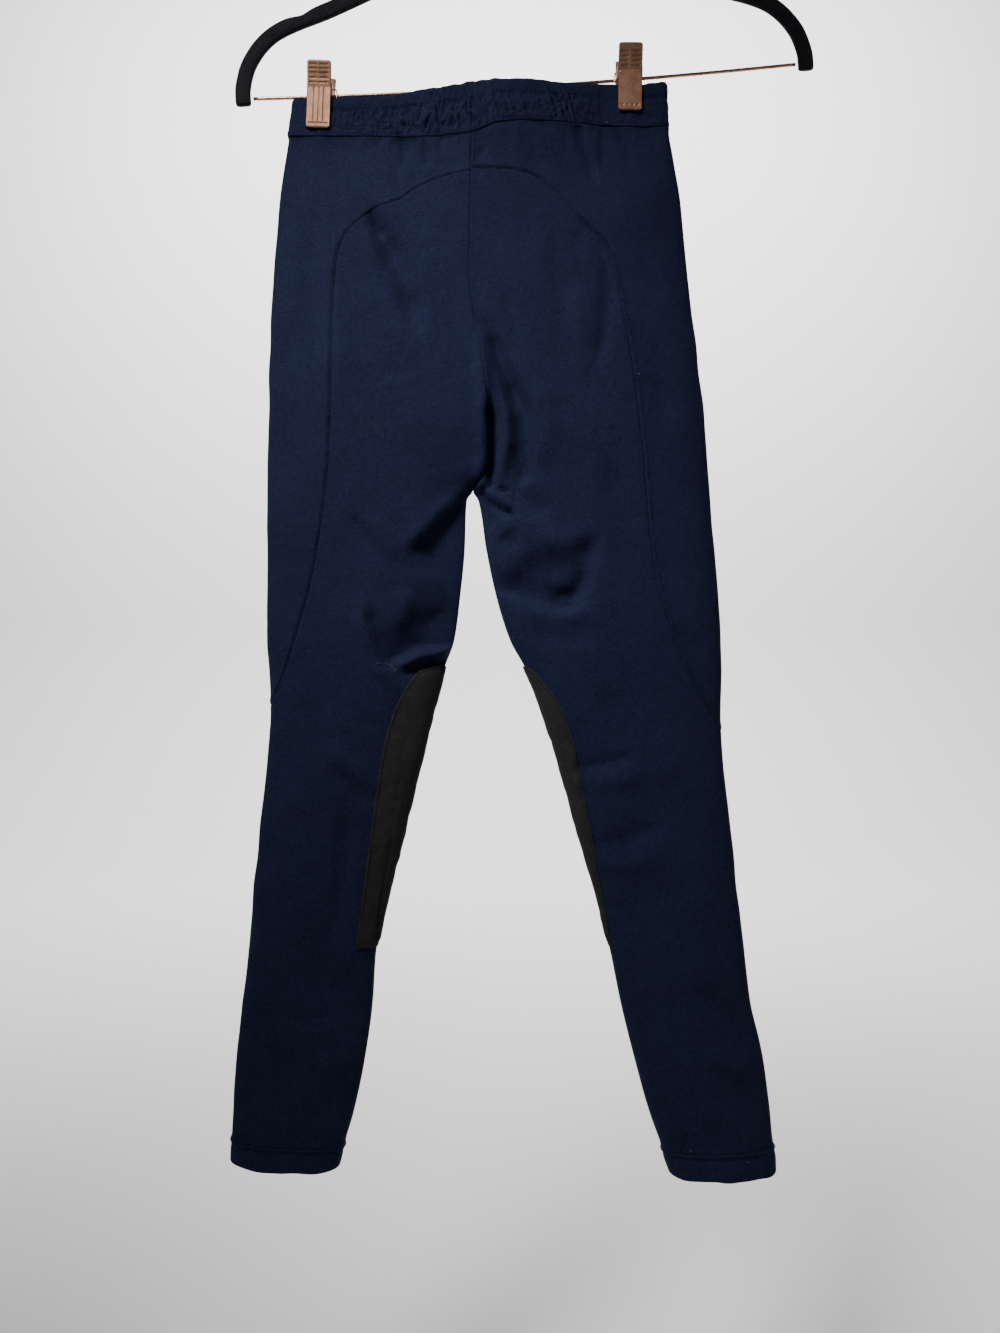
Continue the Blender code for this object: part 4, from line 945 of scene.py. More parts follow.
def waistbandHalf(side):
    bottom = breeches["waistSeam"] + breeches["seamGap"]
    tall = breeches["waistTop"] - bottom
    up, depth = loopProfile(tall, breeches["casing"], casing["topRound"], casing["lowRound"], casing["step"])
    v = bottom + up
    level = np.array([bottom + tall / 2])
    phi = spread(side, -seamAngle(level), seamAngle(level), level, casing["columns"])[0]
    point, _, _, normal = surfaceFrame(side, *np.broadcast_arrays(phi[:, None], v[None]))
    walked = walkedAlong(point[:, len(up) // 4])[:, None]
    fromEnd = np.minimum(walked, walked[-1] - walked)
    share, outerSide = up / tall, np.clip((depth + breeches["casing"] / 2) / 1.5, 0, 1)
    amount = gathers(point[..., 0], point[..., 1])
    high, low = casing["lines"]
    between = ease(share / 0.22) * (1 - 0.72 * ease((share - high + 0.03) / 0.1))
    seed = casing["seed"][side]
    # gathers: rounded crests with sharp valleys between them, leaning a little, cut across by finer puckers
    leaning = walked + 0.35 * up * np.sign(point[..., 0] + 28) + 1.5 * uneven(walked, up, 7.0, seed + 6)
    ripple = 1.6 * np.abs(uneven(leaning, up * 0.3 + 0.4 * walked, casing["ripple"], seed)) - 0.6
    turned = uneven(0.8 * walked + 0.6 * up, 0.8 * up - 0.6 * walked, 3.8, seed + 1)
    ripple = ripple + 0.9 * np.abs(turned) - 0.3 + 0.3 * uneven(walked + up, up - walked, 2.1, seed + 2)
    relief = casing["rippleDepth"] * amount * ripple * between
    puffed = np.abs(np.sin(np.pi * np.interp(share, [0, low, high, 1.15], [0, 1, 2, 3])))
    relief = relief + casing["puff"] * puffed
    relief = relief + 0.5 * uneven(walked, up * 0.2, 11, seed + 3) * ease(share / 0.2)
    for line, sunk in zip(casing["lines"], casing["lineDepth"]):
        wander = 0.25 * uneven(walked, walked * 0, 19, seed + 4)
        relief = relief - sunk * bump(up - line * tall + wander, 0.75)
    relief = relief - 0.4 * bump(fromEnd, 0.7) - casing["tuck"] * (1 - ease(share / 0.12))
    # the jaws press the casing flat; beside them it swells
    fromClip = np.min([np.abs(point[..., 0] - x) for x in clipsAlong.values()], axis=0)
    pressed = 1 - ease((fromClip - casing["pressHalf"]) / 2.5)
    swell = casing["swell"] * bump(fromClip - casing["besideClip"], 2.2)
    relief = relief * (1 - casing["pressed"] * pressed) + swell
    points = point + normal * (breeches["casingProud"] + depth + relief * outerSide)[..., None]
    inner = (1 - outerSide) * ease((-depth - 2.5) / 1.5)
    points = points - normal * (0.5 * amount * ripple * inner)[..., None]
    wave = casing["topWave"] * uneven(walked, up * 0, 5.5, seed + 5)
    points[..., 2] += wave * ease((share - 0.6) / 0.4) * (1 - pressed)
    faces = turnedOut(points, loopQuads(len(phi), len(up), closed=False))
    piece = makePiece("waistband_cloth_" + side, points, faces, knit)
    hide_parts("waistband_" + side)
    # the cloth is as long as its longest row, along the gathers' crests and valleys
    rowLengths = np.linalg.norm(np.diff(points, axis=0), axis=-1).sum(0)
    return piece, (rowLengths.max(), tall)


hem = dict(
    columns=210, endRound=1.5, seamRound=0.7, step=0.75,
    groove=4.5, grooveDepth=0.85, ridge=0.6,      # the stitched groove lies this far below the seam
    puckerSize=4.6, waveSize=12.0, edgeWave=0.8, seed=dict(left=51, right=61),
)


def hemRing(side):
    top = breeches["hemSeam"][side] - breeches["seamGap"]
    tall = top - breeches["hemEnd"][side]
    up, depth = loopProfile(tall, breeches["hemCloth"], hem["endRound"], hem["seamRound"], hem["step"])
    v = top - up
    level = np.array([top - tall / 2])
    phi = spread(side, np.array([0.0]), np.array([2 * np.pi]), level, hem["columns"])[0][:-1]
    point, _, _, normal = surfaceFrame(side, *np.broadcast_arrays(phi[:, None], v[None]))
    middle = point[:, len(up) // 4]
    walked = walkedAlong(middle)[:, None]
    length = walked[-1, 0] + np.linalg.norm(middle[0] - middle[-1])
    # noise that meets itself: read on a circle of the ring's own length
    turn = walked * 2 * np.pi / length
    cx, cz = np.cos(turn) * length / 6.28, np.sin(turn) * length / 6.28
    seed = hem["seed"][side]
    outerSide = np.clip((depth + breeches["hemCloth"] / 2) / 1.2, 0, 1)
    relief = hem["ridge"] * bump(up - 0.7, 1.4) - hem["grooveDepth"] * bump(up - hem["groove"], 0.75)
    relief = relief + 0.35 * uneven(cx + up * 0.1, cz, hem["puckerSize"], seed) * bump(up - 3.5, 4.5)
    relief = relief + 0.6 * uneven(cx + up * 0.15, cz, hem["waveSize"], seed + 1) * ease(up / 7)
    relief = relief + 0.25 * bump(up - 9.5, 4.0)
    points = point + normal * (breeches["hemProud"] + depth + relief * outerSide)[..., None]
    points[..., 2] += hem["edgeWave"] * uneven(cx + up * 0, cz + up * 0, 13, seed + 2) * ease(up / tall)
    faces = turnedOut(points, loopQuads(len(phi), len(up), closed=True))
    piece = makePiece("hem_cloth_" + side, points, faces, knit)
    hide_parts("hem_" + side)
    return piece, (length, tall)


for side in ("left", "right"):
    cloths["waistband", side] = waistbandHalf(side)
    cloths["hem", side] = hemRing(side)
print("waistband and hems made")


# ---- knee patches, laid on over the inseam

patch = dict(
    step=2.0, columns=46, edgeDrop=0.55, stitchIn=1.9, stitchDent=0.35,
    # the left patch is stitched down this line
    seam=((-81.5, -700), (-85.8, -739), (-90.7, -771), (-94.3, -792), (-99.0, -822), (-102.5, -845)),
    seamDent=0.8, wrinkle=7.5, wrinkleDepth=0.45,
)


def patchLine(side, v, columns):
    reach = smoothCurve(patchReach, columns[side], v)
    return atX(side, innerEdge(side, v) + outwards[side] * reach, v)


def suedeNoise(x, z):
    # the patch's own unevenness, which its stitches follow
    return 0.2 * uneven(x, z, 5.0, 71) + 0.5 * uneven(x * 0.3, z, 8.0, 72)


def kneePatch(side):
    v = heights(breeches["patchTop"], breeches["patchEnd"], patch["step"])
    start, end = -patchLine(side, v, patchFront), 2 * np.pi + patchLine(side, v, patchBack)
    phi = spread(side, start, end, v, patch["columns"])
    grid = legSurface(side, phi, v[:, None])
    normal = gridNormals(grid, side)
    border = np.concatenate([grid[0], grid[:, -1], grid[-1, ::-1], grid[::-1, 0]])
    steps = np.arange(len(border) * 4) / 4
    border = np.stack([np.interp(steps, np.arange(len(border)), border[:, k]) for k in range(3)], axis=-1)
    edge = nearest(grid, border, reach=9.0)
    relief = suedeNoise(grid[..., 0], grid[..., 2])
    if side == "left":
        # the strip between the patch's edge and the seam down it is drawn into short level wrinkles
        fromSeam, _, outside = beyond(patch["seam"], grid[..., 0], grid[..., 2])
        wrinkle = uneven(grid[..., 0] * 0.2, grid[..., 2], patch["wrinkle"], 73) * ease(outside / 2)
        sunk = 0.4 * bump(fromSeam - 2.2, 1.2) - patch["seamDent"] * bump(fromSeam, 0.9)
        relief += (patch["wrinkleDepth"] * wrinkle + sunk) * (normal[..., 1] < 0)
    relief += 0.22 * ease((edge - 2.2) / 3) - patch["edgeDrop"] * bump(edge, 0.8)
    relief -= patch["stitchDent"] * bump(edge - patch["stitchIn"], 0.6)
    lift = breeches["patchLift"] + breeches["patchThick"]
    grid = grid + normal * (lift + relief)[..., None]
    quads = gridQuads(*grid.shape[:2], flip=side == "right")
    piece = makePiece("patch_suede_" + side, grid, [quads], suede)
    thicken(piece, breeches["patchThick"])
    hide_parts("knee_patch_" + side)
    return piece, grid, None, phi, v


for side in ("left", "right"):
    cloths["patch", side] = kneePatch(side)
print("knee patches made")


# ---- threads

def threads(name, first, last, up, radius, lift, material):
    # short closed threads, five rings of four corners: sunk in at both ends and arched up between them
    share = np.array([0.0, 0.2, 0.5, 0.8, 1.0])[None, :, None]
    rise = np.array([-1.2, 0.55, 1.0, 0.55, -1.2])[None, :, None] * lift
    size = np.array([0.6, 0.95, 1.0, 0.95, 0.6])[None, :, None, None] * radius
    middle = first[:, None] + (last - first)[:, None] * share + up[:, None] * rise
    along = unit(last - first)
    aside = unit(np.cross(along, up))
    turn = np.radians([45, 135, 225, 315])
    ring = np.cos(turn)[None, :, None] * aside[:, None] + np.sin(turn)[None, :, None] * up[:, None]
    points = middle[:, :, None] + size * ring[:, None]
    count = len(first)
    base = (np.arange(count) * 20)[:, None, None]      # five rings of four corners each
    i, j = np.meshgrid(np.arange(4), np.arange(4), indexing="ij")
    a, b = i * 4 + j, i * 4 + (j + 1) % 4
    sides = np.stack([a, b, b + 4, a + 4], axis=-1).reshape(1, 16, 4) + base
    caps = np.array([[3, 2, 1, 0], [16, 17, 18, 19]])[None] + base
    faces = turnedOut(points, [np.concatenate([sides, caps], axis=1).reshape(-1, 4)])
    piece = makePiece(name, points, faces, material)
    piece.data.polygons.foreach_set("use_smooth", np.ones(len(piece.data.polygons), bool))
    return piece


def alongLine(side, phi, v, gap):
    # angles and heights at even steps along a line on the surface
    walked = walkedAlong(legSurface(side, phi, v))
    at = np.linspace(0, walked[-1], max(3, int(walked[-1] / gap) + 1))
    return np.interp(at, walked, phi), np.interp(at, walked, v)


def beside(side, phi, v, away, lift):
    # points a distance to one side of a line on the surface, lifted off it, and the normals there
    point, _, _, normal = surfaceFrame(side, phi, v)
    tangent = unit(np.gradient(point, axis=0))
    across = np.cross(normal, tangent)
    phiThere, vThere = shifted(side, phi, v, across * np.reshape(away, (-1, 1)))
    there, _, _, normalThere = surfaceFrame(side, phiThere, vThere)
    return there + normalThere * np.reshape(lift, (-1, 1)), normalThere


stitch = dict(
    radius=0.25, lift=0.2, ladder=1.7, ladderWidth=3.0, run=3.1, hemRun=2.8, patchRun=3.6, patchRadius=0.34,
    ladderFrom=0.9, seamLift=0.14,
    joinLine=0.035,      # the line that joins the waistband, as a share of its height
)


def together(rows):
    # starts, ends and normals of several rows of stitches, each in one array
    return [np.concatenate(parts) for parts in zip(*rows)]


def ladder(side, phi, v, way, near, far, lift, slant=0.35):
    # bars across a seam's allowance, each leaning a little
    phi, v = alongLine(side, phi, v, stitch["ladder"])
    count = len(phi)
    jitter = 0.18 * uneven(np.arange(count) * 1.0, np.zeros(count), 1.3, 81)
    a, up = beside(side, phi, v, way * (near + jitter), lift)
    b, _ = beside(side, phi, v, way * (far + jitter), lift)
    return [a[:-1], b[:-1] * (1 - slant) + b[1:] * slant, up[:-1]]


def running(side, phi, v, away, lift, gap, fill=0.8):
    # a single row of running stitches
    phi, v = alongLine(side, phi, v, gap)
    line, up = beside(side, phi, v, np.full(len(phi), away), lift)
    return [line[:-1], line[:-1] + (line[1:] - line[:-1]) * fill, up[:-1]]


def seamStitches(side):
    # over the arched seam, down both centre seams; the way across is the same for every line of a leg
    out = outwards[side]
    archPhi, archV = archRun(side)
    above = archV > archRows[side][-1][0] - 6
    raised = edgeRelief(2.5, panels["seamRaise"], panels["raiseWidth"]) + 0.10
    start = stitch["ladderFrom"]
    rows = [ladder(side, archPhi[above], archV[above], out, start, start + stitch["ladderWidth"], raised)]
    rows.append(running(side, archPhi[~above], archV[~above], out * 1.6, stitch["seamLift"], stitch["run"]))
    v = np.linspace(breeches["waistSeam"] - 1, -496.0, 240)
    rows.append(ladder(side, -seamAngle(v), v, out, 0.7, 2.7, 0.16, slant=0.1))
    rows.append(running(side, seamAngle(v), v, -out * 1.5, stitch["seamLift"], stitch["run"]))
    return together(rows)


def waistStitches(side):
    rows = []
    bottom = breeches["waistSeam"] + breeches["seamGap"]
    tall = breeches["waistTop"] - bottom
    level = np.array([bottom + tall / 2])
    phi = np.linspace(-seamAngle(level)[0] + 0.01, seamAngle(level)[0] - 0.01, 700)
    for line in casing["lines"] + (stitch["joinLine"],):
        v = np.full(len(phi), bottom + line * tall)
        rows.append(running(side, phi, v, 0.0, breeches["casingProud"] - 0.08, stitch["run"]))
    v = np.linspace(bottom + 1.5, breeches["waistTop"] - 2.5, 30)
    lift = breeches["casingProud"] + 0.05
    for face in (-1, 1):
        rows.append(ladder(side, face * seamAngle(v), v, face * outwards[side], 0.7, 2.6, lift, slant=0.1))
    return together(rows)


def hemStitches(side):
    rows = []
    phi = np.linspace(0, 2 * np.pi, 500)
    for drop, lift in ((1.3, hem["ridge"]), (hem["groove"], -0.35)):
        v = np.full(len(phi), breeches["hemSeam"][side] - drop)
        rows.append(running(side, phi, v, 0.0, breeches["hemProud"] + lift - 0.05, stitch["hemRun"]))
    return together(rows)


def patchStitches(side):
    # along the patch's top and both its edges, a little way in
    _, _, _, phi, v = cloths["patch", side]
    edgePhi = np.concatenate([phi[:, 0][::-1], phi[0, 1:-1], phi[:, -1]])
    edgeV = np.concatenate([v[::-1], np.full(phi.shape[1] - 2, v[0]), v])
    lift = breeches["patchLift"] + breeches["patchThick"] + stitch["lift"] / 2
    inwards = -outwards[side] * patch["stitchIn"]
    rows = [running(side, edgePhi, edgeV, inwards, lift - patch["stitchDent"], stitch["patchRun"])]
    if side == "left":
        v = np.linspace(patch["seam"][0][1], patch["seam"][-1][1], 60)
        x = smoothCurve([(height, at) for at, height in patch["seam"]], 1, v)
        seamLift = lift + 0.22 - patch["seamDent"]
        rows.append(running(side, atX(side, x, v), v, 0.0, seamLift, stitch["patchRun"], fill=0.62))
    first, last, up = together(rows)
    first, last = [end + up * suedeNoise(end[:, 0], end[:, 2])[:, None] for end in (first, last)]
    return first, last, up


def makeStitches(side):
    made = {}
    for kind, maker, material in (("seam", seamStitches, navyThread), ("waist", waistStitches, navyThread),
                                  ("hem", hemStitches, navyThread), ("patch", patchStitches, greyThread)):
        first, last, up = maker(side)
        radius = stitch["patchRadius" if kind == "patch" else "radius"]
        made[kind] = threads("stitches_" + kind + "_" + side, first, last, up, radius, stitch["lift"],
                             material)
    return made


stitches = {side: makeStitches(side) for side in ("left", "right")}
print("threads made")


# ---- lint and stray hairs that the brushed cloth has picked up

# x, height points of each hair on the back, then its radius
hairs = (
    (((-99.7, -635.3), (-92.9, -636.1), (-88.4, -638.3), (-85.4, -641.3)), 0.09),
    (((96.4, -417.6), (97.4, -418.4), (97.8, -419.2)), 0.2),
    (((73.8, -227.4), (74.8, -227.0), (75.8, -227.3)), 0.2),
    (((-190.4, -783.2), (-190.0, -784.6), (-190.2, -785.8)), 0.12),
    (((11.6, -563.4), (12.0, -564.0), (12.5, -563.9)), 0.07),
    (((178.8, -1011.4), (179.6, -1012.0), (180.6, -1011.8)), 0.14),
    (((136.2, -1003.0), (137.2, -1002.6), (138.0, -1003.2)), 0.13),
)


def sweep(path, wide, deep, aside, sides):
    # an oval section carried along a path; aside is the section's depth direction, in millimetres
    path = np.asarray(path, float)
    tangent = unit(np.gradient(path, axis=0))
    deepWay = unit(np.broadcast_to(aside, path.shape) - tangent * (tangent * aside).sum(-1, keepdims=True))
    wideWay = np.cross(deepWay, tangent)
    turn = np.linspace(0, 2 * np.pi, sides, endpoint=False)
    across = np.cos(turn)[None, :, None] * wideWay[:, None]
    through = np.sin(turn)[None, :, None] * deepWay[:, None]
    wide = np.reshape(np.broadcast_to(wide, len(path)), (-1, 1, 1))
    deep = np.reshape(np.broadcast_to(deep, len(path)), (-1, 1, 1))
    return path[:, None] + across * wide + through * deep


def roundedEnds(path, radius, steps=5):
    # adds rows at both ends whose section shrinks like a hemisphere; gives the path and the shares
    path = np.asarray(path, float)
    turn = np.linspace(0, 85, steps + 1)[1:]
    reach, share = np.sin(np.radians(turn)) * radius, np.cos(np.radians(turn))
    first, last = unit(path[0] - path[1]), unit(path[-1] - path[-2])
    start = path[0] + first * reach[::-1, None]
    end = path[-1] + last * reach[:, None]
    shares = np.concatenate([share[::-1], np.ones(len(path)), share])
    return np.concatenate([start, path, end]), shares


def joined(parts):
    # several closed shapes in one list of points and faces
    points, faces, base = [], [], 0
    for shapePoints, shapeFaces in parts:
        shapePoints = np.asarray(shapePoints).reshape(-1, 3)
        points.append(shapePoints)
        faces += [f + base for f in turnedOut(shapePoints, shapeFaces)]
        base += len(shapePoints)
    return np.concatenate(points), faces


def curved(points, count):
    # a smooth line through points, at even steps of their own distance
    points = np.asarray(points, float)
    table = np.column_stack([walkedAlong(points), points])
    at = np.linspace(0, table[-1, 0], count)
    return np.stack([smoothCurve(table.tolist(), k, at) for k in range(1, table.shape[1])], axis=-1)


def lint():
    parts = []
    for route, radius in hairs:
        line = curved(route, 14)
        side = "left" if line[0, 0] < innerEdge("left", line[0, 1]) else "right"
        point, _, _, normal = surfaceFrame(side, atX(side, line[:, 0], line[:, 1]), line[:, 1])
        lift = 0.25 + 1.0 * np.sin(np.linspace(0, np.pi, 14)) * radius / 0.2
        # the waistband and the hems stand out further
        lift = lift + (0.9 if line[0, 1] > -232 or line[0, 1] < -1000 else 0)
        path, shares = roundedEnds(point + normal * lift[:, None], radius, 2)
        rings = sweep(path, radius * shares, radius * shares, (0.0, 1.0, 0.15), 6)
        parts.append((rings, loopQuads(len(rings), 6, closed=False)))
    points, faces = joined(parts)
    return makePiece("lint", points, faces, lintFibre)


lint()
print("lint made")


# ---- hanger

hanger = dict(
    tilt=math.radians(3.64), barDrop=188.0, barHalf=209.0, barSag=4.2, barRadius=1.25,
    halfDepth=2.8, armHalfWidth=5.9, neckExtra=3.4, neckReach=16.0,
    notchAt=167.0, notchDepth=2.4, notchWidth=7.0, wireRadius=1.7, hookRadius=22.0,
    squareness=0.62,         # exponent of the arm's section: 1 is an oval, less is squarer
    footRound=2.0, footSteps=(1.6, 1.2, 0.8, 0.45, 0.2, 0.06, 0.0),
    arm=((0, -73), (34, -82), (70, -95), (110, -109.5), (152, -125.4), (172, -131.6), (191, -140),
         (205, -153), (213.5, -168), (217, -184.5), (217, -193)),
    stem=((0.0, -63.4), (0.0, -55.0), (1.6, -49.5), (6.4, -43.4)), hookFrom=-50.0, hookTo=212.0,
)


def hung(along, out, drop):
    # a point given along the bar, out of the mid-plane and below the hook's seat, at the tilt it hangs at
    c, s = math.cos(hanger["tilt"]), math.sin(hanger["tilt"])
    along, out, drop = np.broadcast_arrays(along, out, drop)
    return np.stack([along * c - drop * s, out, along * s + drop * c], axis=-1).astype(float)


def barDrop(along):
    return -hanger["barDrop"] - hanger["barSag"] * (1 - (along / hanger["barHalf"]) ** 2)


def wirePiece(path, radius, sides, name, replaced):
    rings = sweep(path, radius, radius, (0.0, 1.0, 0.0), sides)
    faces = turnedOut(rings, loopQuads(len(rings), sides, closed=False))
    piece = makePiece(name, rings, faces, copperWire)
    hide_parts(replaced)


def hangerFrame():
    arm = np.array(hanger["arm"], float)
    table = np.column_stack([walkedAlong(arm), arm]).tolist()
    end, footRound = table[-1][0], hanger["footRound"]
    at = np.concatenate([np.linspace(0, end - footRound, 130), end - np.array(hanger["footSteps"])])
    x, z = smoothCurve(table, 1, at), smoothCurve(table, 2, at)
    tangent = unit(np.stack([np.gradient(x), np.gradient(z)], axis=-1))
    tangent[0] = (1, 0)
    half = hanger["armHalfWidth"] + hanger["neckExtra"] * bump(at, hanger["neckReach"])
    notch = hanger["notchDepth"] * bump(x - hanger["notchAt"], hanger["notchWidth"]) * (z > -150)
    normal = np.stack([-tangent[:, 1], tangent[:, 0]], axis=-1)
    middle = np.stack([x, z], axis=-1) - normal * notch[:, None] / 2
    half = half - notch / 2
    # the foot's end is rounded over its last two millimetres
    cut = footRound * (1 - quarterRound(np.clip((end - at) / footRound, 0, 1)))
    wide = half * (1 - cut / hanger["armHalfWidth"])
    deep = hanger["halfDepth"] - cut
    mirror = np.array([-1.0, 1.0])
    middle = np.concatenate([(middle * mirror)[:0:-1], middle])
    normal = np.concatenate([(normal * mirror)[:0:-1], normal])
    wide, deep = np.concatenate([wide[:0:-1], wide]), np.concatenate([deep[:0:-1], deep])
    turn = np.linspace(0, 2 * np.pi, 28, endpoint=False)
    across = signedPower(np.cos(turn), hanger["squareness"])[None] * wide[:, None]
    out = signedPower(np.sin(turn), hanger["squareness"])[None] * deep[:, None]
    rings = middle[:, None] + normal[:, None] * across[..., None]
    points = hung(rings[..., 0], out, rings[..., 1])
    faces = turnedOut(points, loopQuads(len(points), len(turn), closed=False))
    piece = makePiece("frame_flocked", points, faces, flock)
    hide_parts("hanger_frame")


def hangerWires():
    radius, wire = hanger["hookRadius"], hanger["wireRadius"]
    angles = np.radians(np.linspace(hanger["hookFrom"], hanger["hookTo"], 70))
    turn = np.stack([radius * np.cos(angles), wire - radius + radius * np.sin(angles)], axis=-1)
    stem = curved(np.concatenate([np.array(hanger["stem"]), turn[:1]]), 20)[:-1]
    flat = np.concatenate([stem, turn])
    path, shares = roundedEnds(hung(flat[:, 0], 0.0, flat[:, 1]), wire)
    wirePiece(path, wire * shares, 20, "hook_wire", "hanger_hook")
    along = np.linspace(-hanger["barHalf"], hanger["barHalf"], 90)
    wirePiece(hung(along, 0.0, barDrop(along)), hanger["barRadius"], 16, "bar_wire", "hanger_bar")


hangerFrame()
hangerWires()
print("hanger made")


# ---- clips

clips = dict(
    tilt=dict(left=math.radians(2.2), right=math.radians(0.3)),
    width=18.3, grip=-27.6, top=21.2, face=6.5, plate=2.0, leverSpread=4.6, leverFrom=3.0,
    corner=1.7, edge=0.55,        # rounding of the plate's outline and of its outer edges
    endSteps=(0, 0.12, 0.35, 0.7), pressEdge=0.35, grooveDepth=0.42,
    earLow=-2.6, earHigh=7.0, earPast=2.8, earRoot=0.8, earInset=dict(near=0.1, far=1.7),
    earLayers=((-0.6, 0.94), (-0.45, 1.0), (0.45, 1.0), (0.6, 0.94)),      # offset, size
    springRadius=2.02, springWire=0.42, springHalf=5.3, springTurns=10.5,
    legEnd=(5.9, -9.0), legStart=(4.2, -4.4),
    loopOut=-1.9, loopFrom=8.2,
    loop=dict(left=(12.6, 5.2, -5.6), right=(11.3, 4.2, -4.0)),      # how far it reaches, its top and its end
)
# shallow presswork of each plate: where it is across the plate and up it, both as ranges
presswork = dict(
    left=tuple((a, b, s - 0.55, s + 0.55) for s in (18.2, 15.3, 12.3, 9.1, 6.0)
               for a, b in ((-7.3, -1.6), (0.2, 6.9)))
    + tuple((w - 0.42, w + 0.42, -22.8, 2.6) for w in (-3.9, 0.0, 3.8)) + ((-7.4, 7.4, -24.9, -23.9),),
    right=tuple((a, b, s - 0.5, s + 0.5) for s in (15.1, 11.9, 8.7, 5.5)
                for a, b in ((-7.3, -1.3), (1.3, 7.7)))
    + ((-9.0, -7.6, 0.9, 2.3), (7.6, 9.0, 0.9, 2.3))
    + tuple((w - 0.75, w + 0.75, -24.3, -23.0) for w in (-5.6, -1.9, 1.9, 5.6)),
)


def clipPlace(side, across, out, up):
    # from the clip's own sizes, its pivot on the bar, to the hanging pose
    pivot = hung(clipsAlong[side], 0.0, barDrop(clipsAlong[side]))
    c, s = math.cos(clips["tilt"][side]), math.sin(clips["tilt"][side])
    across, out, up = np.broadcast_arrays(across, out, up)
    return pivot + np.stack([across * c + up * s, out, -across * s + up * c], axis=-1)


def droppedEdge(distance, radius):
    # how far a rounded edge has dropped at a distance from it
    return radius * (1 - quarterRound(np.clip(distance / radius, 0, 1)))


def jaw(side, which, out):
    # a plate bent outwards above the bar: rings round its section, carried up it
    ends = np.array(clips["endSteps"])
    s = np.concatenate([clips["grip"] + ends, np.linspace(-26.4, 20.0, 110), clips["top"] - ends[::-1]])
    fromEnd = np.minimum(s - clips["grip"], clips["top"] - s)
    lever = np.clip((s - clips["leverFrom"]) / (clips["top"] - clips["leverFrom"]), 0, 1)
    lean = clips["leverSpread"] * lever
    half = clips["width"] / 2 - droppedEdge(fromEnd, clips["corner"])
    # round the section: over the outer face, down one side, back under it and up the other side
    w = np.concatenate([np.linspace(-1, 1, 48), np.full(3, 1.0), np.linspace(1, -1, 12), np.full(3, -1.0)])
    rim = np.concatenate([np.zeros(48), [0.3, 0.5, 0.7], np.ones(12), [0.7, 0.5, 0.3]])
    across = half[:, None] * w[None]
    rounding = droppedEdge(half[:, None] - np.abs(across), clips["edge"])
    rounding = rounding + 0.35 * bump(fromEnd, 0.4)[:, None]
    pressed = np.zeros(across.shape)
    for a, b, low, high in presswork[side]:
        inside = 1.0
        for gap in (across - a, b - across, s[:, None] - low, high - s[:, None]):
            inside = inside * ease(gap / clips["pressEdge"] + 0.5)
        pressed = np.maximum(pressed, inside)
    outer = clips["plate"] - rounding - clips["grooveDepth"] * pressed
    depth = clips["face"] + lean[:, None] + (1 - rim) * outer + rim * 0.6 * rounding
    plate = clipPlace(side, across, out * depth, s[:, None])
    parts = [(plate, loopQuads(len(s), across.shape[1], closed=False))]
    # ears: flat tongues from the plate past the bar, with rounded ends
    bend = np.radians(np.linspace(-90, 90, 15))
    tip = np.stack([2.6 - clips["earPast"] - 2.6 * np.cos(bend), 2.2 - 4.7 * np.sin(bend)], axis=-1)
    root = clips["face"] + clips["earRoot"]
    ear = np.concatenate([[(root, clips["earHigh"])], tip, [(root, clips["earLow"])]])
    centre = ear.mean(0)
    for way in (-1, 1):
        middle = way * (clips["width"] / 2 - clips["earInset"][which])
        layers = []
        for offset, size in clips["earLayers"]:
            edge = centre + (ear - centre) * size
            layers.append(clipPlace(side, middle + offset, out * edge[:, 0], edge[:, 1]))
        parts.append((np.stack(layers), loopQuads(len(layers), len(ear), closed=False)))
    points, faces = joined(parts)
    piece = makePiece("jaw_" + which + "_" + side, points, faces, roseGold)
    piece.data.set_sharp_from_angle(angle=math.radians(35))
    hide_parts("clip_" + side + "_" + which)


def coil(side):
    # a helix round the bar with one leg down each jaw, and the wire loop that shows beside the plate
    slope = 2 * hanger["barSag"] * clipsAlong[side] / hanger["barHalf"] ** 2
    pivot = hung(clipsAlong[side], 0.0, barDrop(clipsAlong[side]))
    ways = np.stack([unit(hung(1.0, 0.0, slope)), (0.0, 1.0, 0.0), unit(hung(-slope, 0.0, 1.0))])
    t = np.linspace(0, 1, 11 * 18)
    turn = t * 2 * np.pi * clips["springTurns"]
    radius, half = clips["springRadius"], clips["springHalf"]
    line = np.stack([(2 * t - 1) * half, radius * np.cos(turn), radius * np.sin(turn)], axis=-1)
    leg = np.array([(half, *clips["legEnd"]), (half, *clips["legStart"])])
    line = np.concatenate([leg * (-1, 1, 1), line, leg[::-1] * (1, -1, 1)])
    wire = clips["springWire"]
    rings = sweep(pivot + line @ ways, wire, wire, ways[0], 6)
    parts = [(rings, loopQuads(len(rings), 6, closed=False))]
    reach, high, low = clips["loop"][side]
    loop = np.array([(clips["loopFrom"], high - 0.8), (reach - 1.2, high), (reach, high * 0.4),
                     (reach, low * 0.45), (reach - 1.4, low), (clips["loopFrom"], low + 0.9)])
    flat = curved(loop * (-outwards[side], 1), 34)
    path, shares = roundedEnds(clipPlace(side, flat[:, 0], clips["loopOut"], flat[:, 1]), 0.5, 3)
    rings = sweep(path, 0.62 * shares, 0.5 * shares, ways[1], 8)
    parts.append((rings, loopQuads(len(rings), 8, closed=False)))
    points, faces = joined(parts)
    piece = makePiece("spring_" + side, points, faces, copperWire)
    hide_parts("clip_" + side + "_spring")


for side in ("left", "right"):
    jaw(side, "near", -1)
    jaw(side, "far", 1)
    coil(side)
print("clips made")


# ---- the cut of each piece of cloth

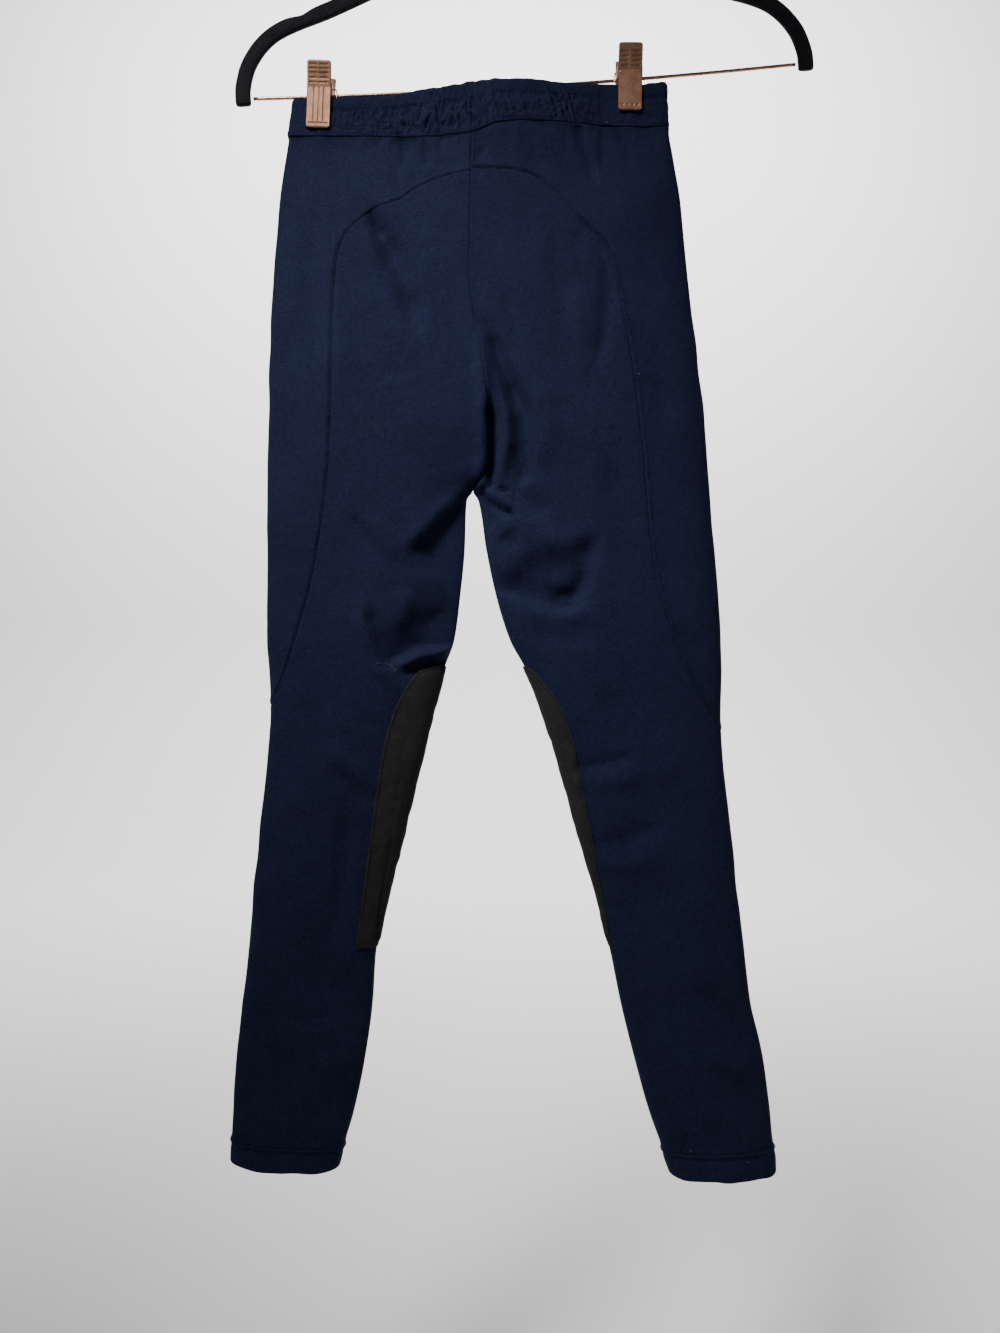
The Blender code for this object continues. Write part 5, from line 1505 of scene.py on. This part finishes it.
for side in ("left", "right"):
    sheetCut(*cloths["front", side], extra=[stitches[side]["seam"]])
    sheetCut(*cloths["seat", side])
    sheetCut(*cloths["patch", side][:3], extra=[stitches[side]["patch"]])


# ---- stage, lights and camera

# in metres
stage = dict(floor=-1.35, back=3.3, bend=0.9, halfWidth=7.0, front=-6.0, wallHeight=6.0)


def makeStage():
    # a floor that bends up into a far wall
    turn = np.radians(np.linspace(0, 90, 25))
    back, bend = stage["back"], stage["bend"]
    y = np.concatenate([[stage["front"]], back - bend + bend * np.sin(turn), [back]])
    z = np.concatenate([[0], bend * (1 - np.cos(turn)), [stage["wallHeight"]]]) + stage["floor"]
    x = np.linspace(-stage["halfWidth"], stage["halfWidth"], 15)
    points = np.stack(np.broadcast_arrays(x[None], y[:, None], z[:, None]), axis=-1).reshape(-1, 3)
    mesh = bpy.data.meshes.new("floor")
    mesh.from_pydata(points.tolist(), [], gridQuads(len(y), len(x)).tolist())
    mesh.materials.append(makeStageMaterial("palePaper", (0.88, 0.88, 0.885)))
    mesh.shade_smooth()
    floor = bpy.data.objects.new("floor", mesh)
    scene.collection.objects.link(floor)


def areaLight(name, place, aim, size, power, colour, spread=180.0):
    lamp = bpy.data.lights.new(name, "AREA")
    lamp.shape = "RECTANGLE"
    lamp.size, lamp.size_y = size
    lamp.energy = power
    lamp.color = colour
    lamp.spread = math.radians(spread)
    made = bpy.data.objects.new(name, lamp)
    made.location = place
    made.rotation_euler = (Vector(aim) - Vector(place)).to_track_quat("-Z", "Y").to_euler()
    scene.collection.objects.link(made)


makeStage()
areaLight("key", (-0.46, -0.72, 0.34), (0.015, 0.0, -0.57), (0.36, 0.24), 2.13, (1.0, 0.985, 0.965),
          spread=48.0)
areaLight("fill", (1.5, -1.5, 0.9), (0.0, 0.0, -0.4), (0.8, 0.8), 3.0, (0.96, 0.975, 1.0))
areaLight("wall", (0.0, 0.9, 2.6), (0.0, 3.3, 0.6), (4.0, 1.0), 240.0, (1.0, 0.99, 0.98), spread=125.0)
areaLight("behind", (0.6, 2.0, 1.4), (0.0, 0.0, -0.6), (2.4, 1.4), 20.0, (1.0, 1.0, 1.0))
world = bpy.data.worlds.new("pale")
world.use_nodes = True
world.node_tree.nodes["Background"].inputs[0].default_value = (0.92, 0.93, 0.95, 1)
world.node_tree.nodes["Background"].inputs[1].default_value = 0.06
scene.world = world

camera = bpy.data.cameras.new("camera")
camera.sensor_width = 36.0
camera.lens = 27.0
eye = bpy.data.objects.new("camera", camera)
eye.location = (-0.0069, -0.77, -0.638)
eye.rotation_euler = (math.pi / 2, 0, 0)
scene.collection.objects.link(eye)
scene.camera = eye
print("stage made")
